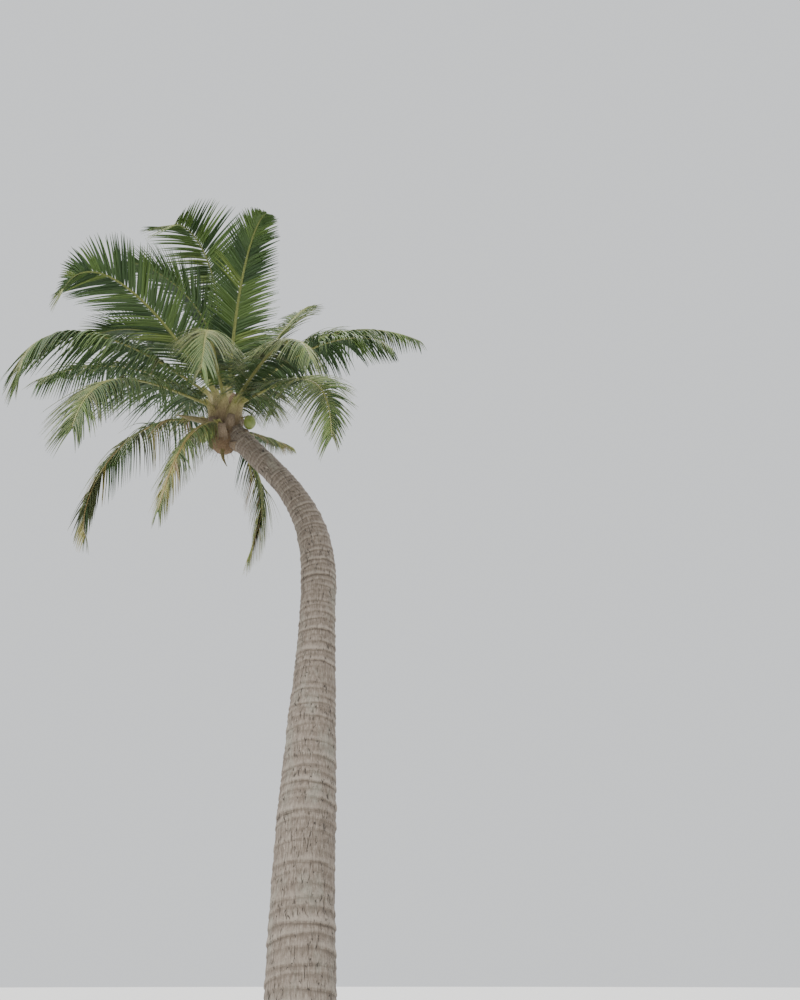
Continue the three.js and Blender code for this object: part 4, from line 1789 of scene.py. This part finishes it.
@dataclass(frozen=True)
class Bunch:
    """A bunch of young nuts that hangs on a stalk from the heart.

    Attributes:
        reach: How far the stalk stands out of the heart.
        thread_leaves: How far out of the stalk's end a nut's thread starts, and then heads.
        thread_lands: From how far above the nut's top it comes, and where it ends.
        slimness: A husk's half width, as a share of its nut's radius.
        stretch: Its half height, as such a share.
        egg: How much narrower it is below than above.
        three_sided: How far it is from round.
        pole_gap: How far its first and last ring stay from the poles, as a share of the way between them.
        cap_out: The cap's profile as distances from its middle, as shares of the nut's radius.
        cap_down: The same as distances below its top, apart from the wall.
        cap_wall: The thickness of the cap's wall, as such a share.
        cap_top: How far up the cap sits, as a share of the husk's half height.
        lobes: How deep the cap's rim is lobed.
    """

    name: str
    azimuth: float
    height: float
    nuts: tuple[Nut, ...]
    reach: float = 0.038
    stalk_half_width: float = 0.016
    thread_half_width: float = 0.008
    thread_leaves: Span = (-0.01, 0.02)
    thread_lands: Span = (0.03, -0.02)
    stem_rings: int = 14
    stem_sides: int = 12
    slimness: float = 0.965
    stretch: float = 1.2
    egg: float = 0.10
    three_sided: float = 0.035
    pole_gap: float = 0.015
    rows: int = 44
    columns: int = 48
    cap_out: tuple[float, ...] = (0.02, 0.22, 0.44, 0.62, 0.74, 0.70, 0.58, 0.40, 0.02)
    cap_down: tuple[float, ...] = (0.0, 0.04, 0.12, 0.24, 0.34, 0.335, 0.22, 0.10, 0.03)
    cap_wall: float = 0.05
    cap_top: float = 1.035
    lobes: float = 0.10

    def directions(self) -> tuple[Array, Array]:
        """The directions out of the heart and sideways."""
        outward = level_direction(math.radians(self.azimuth))
        return outward, np.cross(UP, outward)

    def husk(self, nut: Nut, centre: Array) -> Surface:
        """A nut's husk: a bluntly three-sided egg that is narrower below than above.

        Args:
            nut: The nut.
            centre: Its middle.

        Returns:
            The surface.
        """
        pole = math.pi * np.linspace(self.pole_gap, 1.0 - self.pole_gap, self.rows)[:, None]
        profile = np.sin(pole) * (1.0 - self.egg * np.cos(pole))
        sides = 1.0 + self.three_sided * np.cos(3.0 * FULL_TURN * turns(self.columns)) * np.sin(pole)
        centres = centre - UP * (nut.radius * self.stretch * np.cos(pole))
        return Surface.skin(rings_round(centres, RIGHT, BACK, nut.radius * self.slimness * profile * sides))

    def cap(self, nut: Nut, centre: Array) -> Surface:
        """The scales that hold the nut at its stalk end: a shallow lobed bowl with its rim turned down.

        Args:
            nut: The nut.
            centre: Its middle.

        Returns:
            The surface.
        """
        out, down = np.array(self.cap_out)[:, None], np.array(self.cap_down)[:, None]
        inner = np.where(np.arange(len(out)) > down.argmax(), self.cap_wall, 0.0)[:, None]
        lobes = 1.0 + self.lobes * np.cos(3.0 * FULL_TURN * turns(self.columns)) * (down / down.max())
        centres = centre + UP * nut.radius * (self.stretch * self.cap_top - down - inner)
        return Surface.skin(rings_round(centres, RIGHT, BACK, nut.radius * out * lobes)[::-1])

    def stem(self, knots: Sequence[Array], half_width: float) -> Surface:
        """A round stem.

        Args:
            knots: The four knots of the curve that its middle follows.
            half_width: Half its width.

        Returns:
            The surface.
        """
        middle = cubic_curve(knots, self.stem_rings)
        sides = square_to(unit(np.gradient(middle, axis=0)), self.directions()[1])
        half = np.full((self.stem_rings, self.stem_sides), half_width)
        return Surface.skin(rings_round(middle, *sides, half))

    def build(self, heart: Heart, axis: Array, husk: Material, sheath: Material) -> list[Object]:
        """Makes the nuts, and their stalks and caps.

        Args:
            heart: The heart that carries them.
            axis: The foot of the heart's axis.
            husk: The nuts' finish.
            sheath: The stalks' and caps' finish.

        Returns:
            Two pieces: the husks, and the stalks with the caps.
        """
        outward, sideways = self.directions()
        root = axis + UP * self.height
        rim = root + outward * heart.widest
        end = rim + outward * self.reach
        husks = []
        stems = [self.stem([root, mix(root, rim, 0.5), rim, end], self.stalk_half_width)]
        for nut in self.nuts:
            side, out, down = nut.place
            centre = rim + sideways * side + outward * out - UP * down
            top = centre + UP * nut.radius * self.stretch
            knots = [end + outward * step for step in self.thread_leaves]
            knots += [top + UP * step for step in self.thread_lands]
            husks.append(self.husk(nut, centre))
            stems += [self.stem(knots, self.thread_half_width), self.cap(nut, centre)]
        nuts = make_piece(f"{self.name}_husks", Surface.joined(husks), [husk], Slot.HUSK, self.name)
        stalks = make_piece(f"{self.name}_stalks", Surface.joined(stems), [sheath], Slot.SHEATH, self.name)
        return [nuts, stalks]


BUNCHES = [
    Bunch("nuts_left", 225, -0.040, (Nut((0.060, 0.060, 0.150), 0.088), Nut((-0.070, 0.040, 0.130), 0.080))),
    Bunch("nuts_right", 335, 0.130, (Nut((0.0, 0.150, 0.110), 0.080),)),
]


@dataclass(frozen=True)
class OldFlowerStalk:
    """The withered flower stalk that hangs below the heart.

    Attributes:
        root: From the foot of the heart's axis to where it hangs from.
        lean: How far its tip hangs to the right and back.
        taper: The share of its width that is gone at the tip.
        taper_power: The power that the width follows.
        knobs: The places where the flowers' branches were.
        knob_levels: The share of half its width between the knobs, and on them.
    """

    root: tuple[float, float, float] = (0.0, -0.04, -0.25)
    length: float = 0.36
    lean: Span = (0.11, -0.09)
    half_width: float = 0.038
    taper: float = 0.88
    taper_power: float = 0.8
    knobs: WrappedNoise = WrappedNoise(0.022, 7, 5)
    knob_levels: Span = (0.72, 1.28)
    rings: int = 26
    sides: int = 20

    def build(self, axis: Array) -> Surface:
        """The stalk: it tapers as it hangs, with shallow knobs where the flowers' branches were.

        Args:
            axis: The foot of the heart's axis.

        Returns:
            The surface.
        """
        share = np.linspace(0.0, 1.0, self.rings)[:, None]
        hanging = np.array([*self.lean, 0.0]) * share**2 - UP * self.length * share
        centres = axis + np.array(self.root) + hanging
        knobs = mix(*self.knob_levels, self.knobs.level(share * self.length, turns(self.sides)))
        half = self.half_width * (1.0 - self.taper * share**self.taper_power) * knobs
        sides = square_to(unit(np.gradient(centres, axis=0)), RIGHT)
        return Surface.skin(rings_round(centres, *sides, half))


STALK_GREEN = (0.245, 0.248, 0.072)
RIB_FINISHES = {
    age: StalkFinish(f"rib_{age.value}", ((0.0, STALK_GREEN), (0.25, lower), (1.0, tip)), roughness=0.45)
    for age, lower, tip in (
        (Age.YOUNG, (0.215, 0.245, 0.062), (0.180, 0.215, 0.055)),
        (Age.GROWN, (0.240, 0.250, 0.070), (0.205, 0.220, 0.060)),
        (Age.OLD, (0.300, 0.250, 0.080), (0.260, 0.190, 0.075)),
    )
}
LEAF_BASE_FINISH = StalkFinish(
    name="leaf_base",
    stops=(
        (0.0, (0.130, 0.086, 0.046)),
        (0.30, (0.215, 0.160, 0.080)),
        (0.70, (0.280, 0.250, 0.098)),
        (1.0, STALK_GREEN),
    ),
    roughness=0.60,
)
STUB_FINISH = StalkFinish(
    name="leaf_stub",
    stops=((0.0, (0.120, 0.082, 0.050)), (0.6, (0.215, 0.165, 0.110)), (1.0, (0.130, 0.095, 0.065))),
    roughness=0.80,
)
# The four below give their streaks' low and high colours, the flecks' colour and how far these cover.
SPEAR_FINISH = GrainFinish(
    "spear", (0.150, 0.165, 0.040), (0.300, 0.300, 0.090), (0.210, 0.140, 0.060), 0.35,
    roughness=0.45, scale=40.0, stretch=0.3, relief=0.0012,
)
FIBRE_FINISH = GrainFinish(
    "fibre", (0.060, 0.036, 0.018), (0.185, 0.120, 0.062), (0.290, 0.215, 0.130), 0.45,
    roughness=0.9, scale=110.0, stretch=0.25, relief=0.004,
)
HUSK_FINISH = GrainFinish(
    "husk", (0.110, 0.160, 0.030), (0.200, 0.235, 0.060), (0.230, 0.150, 0.060), 0.35,
    roughness=0.38, scale=26.0, stretch=0.5, relief=0.0006,
)
SHEATH_FINISH = GrainFinish(
    "sheath", (0.095, 0.085, 0.032), (0.225, 0.180, 0.075), (0.090, 0.052, 0.026), 0.5,
    roughness=0.6, scale=55.0, stretch=1.0, relief=0.0010,
)


@dataclass(frozen=True)
class Crown:
    """The crown: the heart and everything that grows from it."""

    heart: Heart = Heart()
    ribs: RibMaker = RibMaker()
    leaflets: LeafletMaker = LeafletMaker()
    bases: LeafBaseMaker = LeafBaseMaker()
    stubs: StubMaker = StubMaker()
    strands: StrandMaker = StrandMaker()
    spear: Spear = Spear()
    sheath: FlowerSheath = FlowerSheath()
    stalk: OldFlowerStalk = OldFlowerStalk()
    seed: int = 40

    def build(self, trunk: Trunk) -> list[Object]:
        """Makes every piece of the crown.

        Args:
            trunk: The trunk that carries it.

        Returns:
            The pieces.
        """
        axis = self.heart.axis(trunk)
        fibre, husk, sheath = (finish.material() for finish in (FIBRE_FINISH, HUSK_FINISH, SHEATH_FINISH))
        base, stub, spear = (finish.material() for finish in (LEAF_BASE_FINISH, STUB_FINISH, SPEAR_FINISH))
        ranks = np.linspace(0.0, 1.0, len(FRONDS))
        bases = [self.bases.build(frond, self.heart, axis, rank) for frond, rank in zip(FRONDS, ranks)]
        stubs = self.stubs.build(trunk, self.heart, axis)
        strands = self.strands.build(self.heart, axis)
        made = [
            make_piece("heart_core", self.heart.core(axis), [fibre], Slot.FIBRE, "heart"),
            make_piece("leaf_bases", Surface.joined(bases), [base], Slot.FIBRE, "heart"),
            make_piece("leaf_stubs", stubs, [stub], Slot.FIBRE, "heart"),
            make_piece("fibre_strands", strands, [fibre], Slot.FIBRE, "heart"),
            make_piece("old_flower_stalk", self.stalk.build(axis), [sheath], Slot.SHEATH),
            make_piece("folded_leaf", self.spear.build(axis), [spear], Slot.RIB, "spear"),
            make_piece("flower_sheath", self.sheath.build(axis), [sheath], Slot.SHEATH, "spathe"),
        ]
        for bunch in BUNCHES:
            made += bunch.build(self.heart, axis, husk, sheath)
        return made + self.build_fronds(axis)

    def build_fronds(self, axis: Array) -> list[Object]:
        """Makes the fronds.

        Args:
            axis: The foot of the heart's axis.

        Returns:
            Two pieces for each frond: its leaflets and its rib.
        """
        tints = [LeafletFinish(tint).material() for tint in TINT_ORDER]
        greens = {age: finish.material() for age, finish in RIB_FINISHES.items()}
        made = []
        for frond in FRONDS:
            rng = np.random.default_rng(self.seed + frond.number)
            blades = self.leaflets.build(frond, axis, rng)
            rib, green = self.ribs.build(frond, axis), greens[frond.habit.age]
            made.append(make_piece(f"{frond.name}_leaflets", blades, tints, Slot.LEAFLET, *frond.nodes()))
            made.append(make_piece(f"{frond.name}_rib", rib, [green], Slot.RIB, *frond.nodes()))
        return made


@dataclass(frozen=True)
class Lamp:
    """A broad, distant lamp.

    Attributes:
        softness: How wide it looks from the palm.
        turned: Its angles about X, Y and Z.
    """

    name: str
    strength: float
    softness: float
    turned: tuple[float, float, float]


@dataclass(frozen=True)
class Studio:
    """The pale floor, the soft lights and the camera at the usual viewing angle.

    Attributes:
        eye: The camera's place.
        pitch: How far it looks up.
        lens: Its focal length, in millimetres.
        sensor: Its frame's width, in millimetres.
    """

    eye: tuple[float, float, float] = (0.71, -7.62, 1.35)
    pitch: float = 29.02
    lens: float = 30.96
    sensor: float = 36.0
    floor_radius: float = 150.0
    floor_centre_radius: float = 0.5
    floor_depth: float = 0.02
    floor_sides: int = 96
    sky: Colour = (0.80, 0.82, 0.84)
    sky_strength: float = 1.15
    lamps: tuple[Lamp, ...] = (
        Lamp("key", 3.8, 22.0, (48.0, 0.0, -42.0)),
        Lamp("fill", 1.0, 70.0, (60.0, 0.0, 55.0)),
        Lamp("back", 2.0, 40.0, (38.0, 0.0, 165.0)),
    )

    def build(self) -> None:
        """Makes the floor, the lights, the surroundings and the camera."""
        self.make_floor()
        for lamp in self.lamps:
            self.make_light(lamp)
        self.make_surroundings()
        self.make_camera()

    def make_floor(self) -> None:
        """A wide level disc: its rings run out to the rim below and back in above."""
        near, far = self.floor_centre_radius, self.floor_radius
        heights = np.array([-self.floor_depth, -self.floor_depth, 0.0, 0.0])[:, None]
        radii = np.tile(np.array([near, far, far, near])[:, None], self.floor_sides)
        rings = rings_round(UP * heights, RIGHT, BACK, radii)
        floor = make_object("floor", Surface.skin(rings), [StudioFinish().material()])
        floor.data.shade_flat()

    @staticmethod
    def make_light(lamp: Lamp) -> None:
        """Hangs a lamp.

        Args:
            lamp: The lamp.
        """
        source = bpy.data.lights.new(lamp.name, "SUN")
        source.energy = lamp.strength
        source.angle = math.radians(lamp.softness)
        light = bpy.data.objects.new(lamp.name, source)
        light.rotation_euler = tuple(math.radians(angle) for angle in lamp.turned)
        bpy.context.scene.collection.objects.link(light)

    def make_surroundings(self) -> None:
        """An even pale sky."""
        world = bpy.data.worlds.new("studio")
        world.use_nodes = True
        background = world.node_tree.nodes["Background"]
        background.inputs["Color"].default_value = (*self.sky, 1.0)
        background.inputs["Strength"].default_value = self.sky_strength
        bpy.context.scene.world = world

    def make_camera(self) -> None:
        """A camera at eye height in front of the palm, looking up along +Y."""
        lens = bpy.data.cameras.new("camera")
        lens.lens = self.lens
        lens.sensor_width = self.sensor
        camera = bpy.data.objects.new("camera", lens)
        camera.location = self.eye
        camera.rotation_euler = (math.radians(90.0 + self.pitch), 0.0, 0.0)
        bpy.context.scene.collection.objects.link(camera)
        bpy.context.scene.camera = camera


def main() -> None:
    """Builds the palm and the studio around the frame."""
    logging.basicConfig(level=logging.INFO, format="%(name)s: %(message)s")
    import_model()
    trunk = Trunk()
    pieces = trunk.build(BarkFinish().material())
    pieces += Crown().build(trunk)
    Studio().build()
    log.info("%d pieces", len(pieces))


if __name__ == "__main__":
    main()
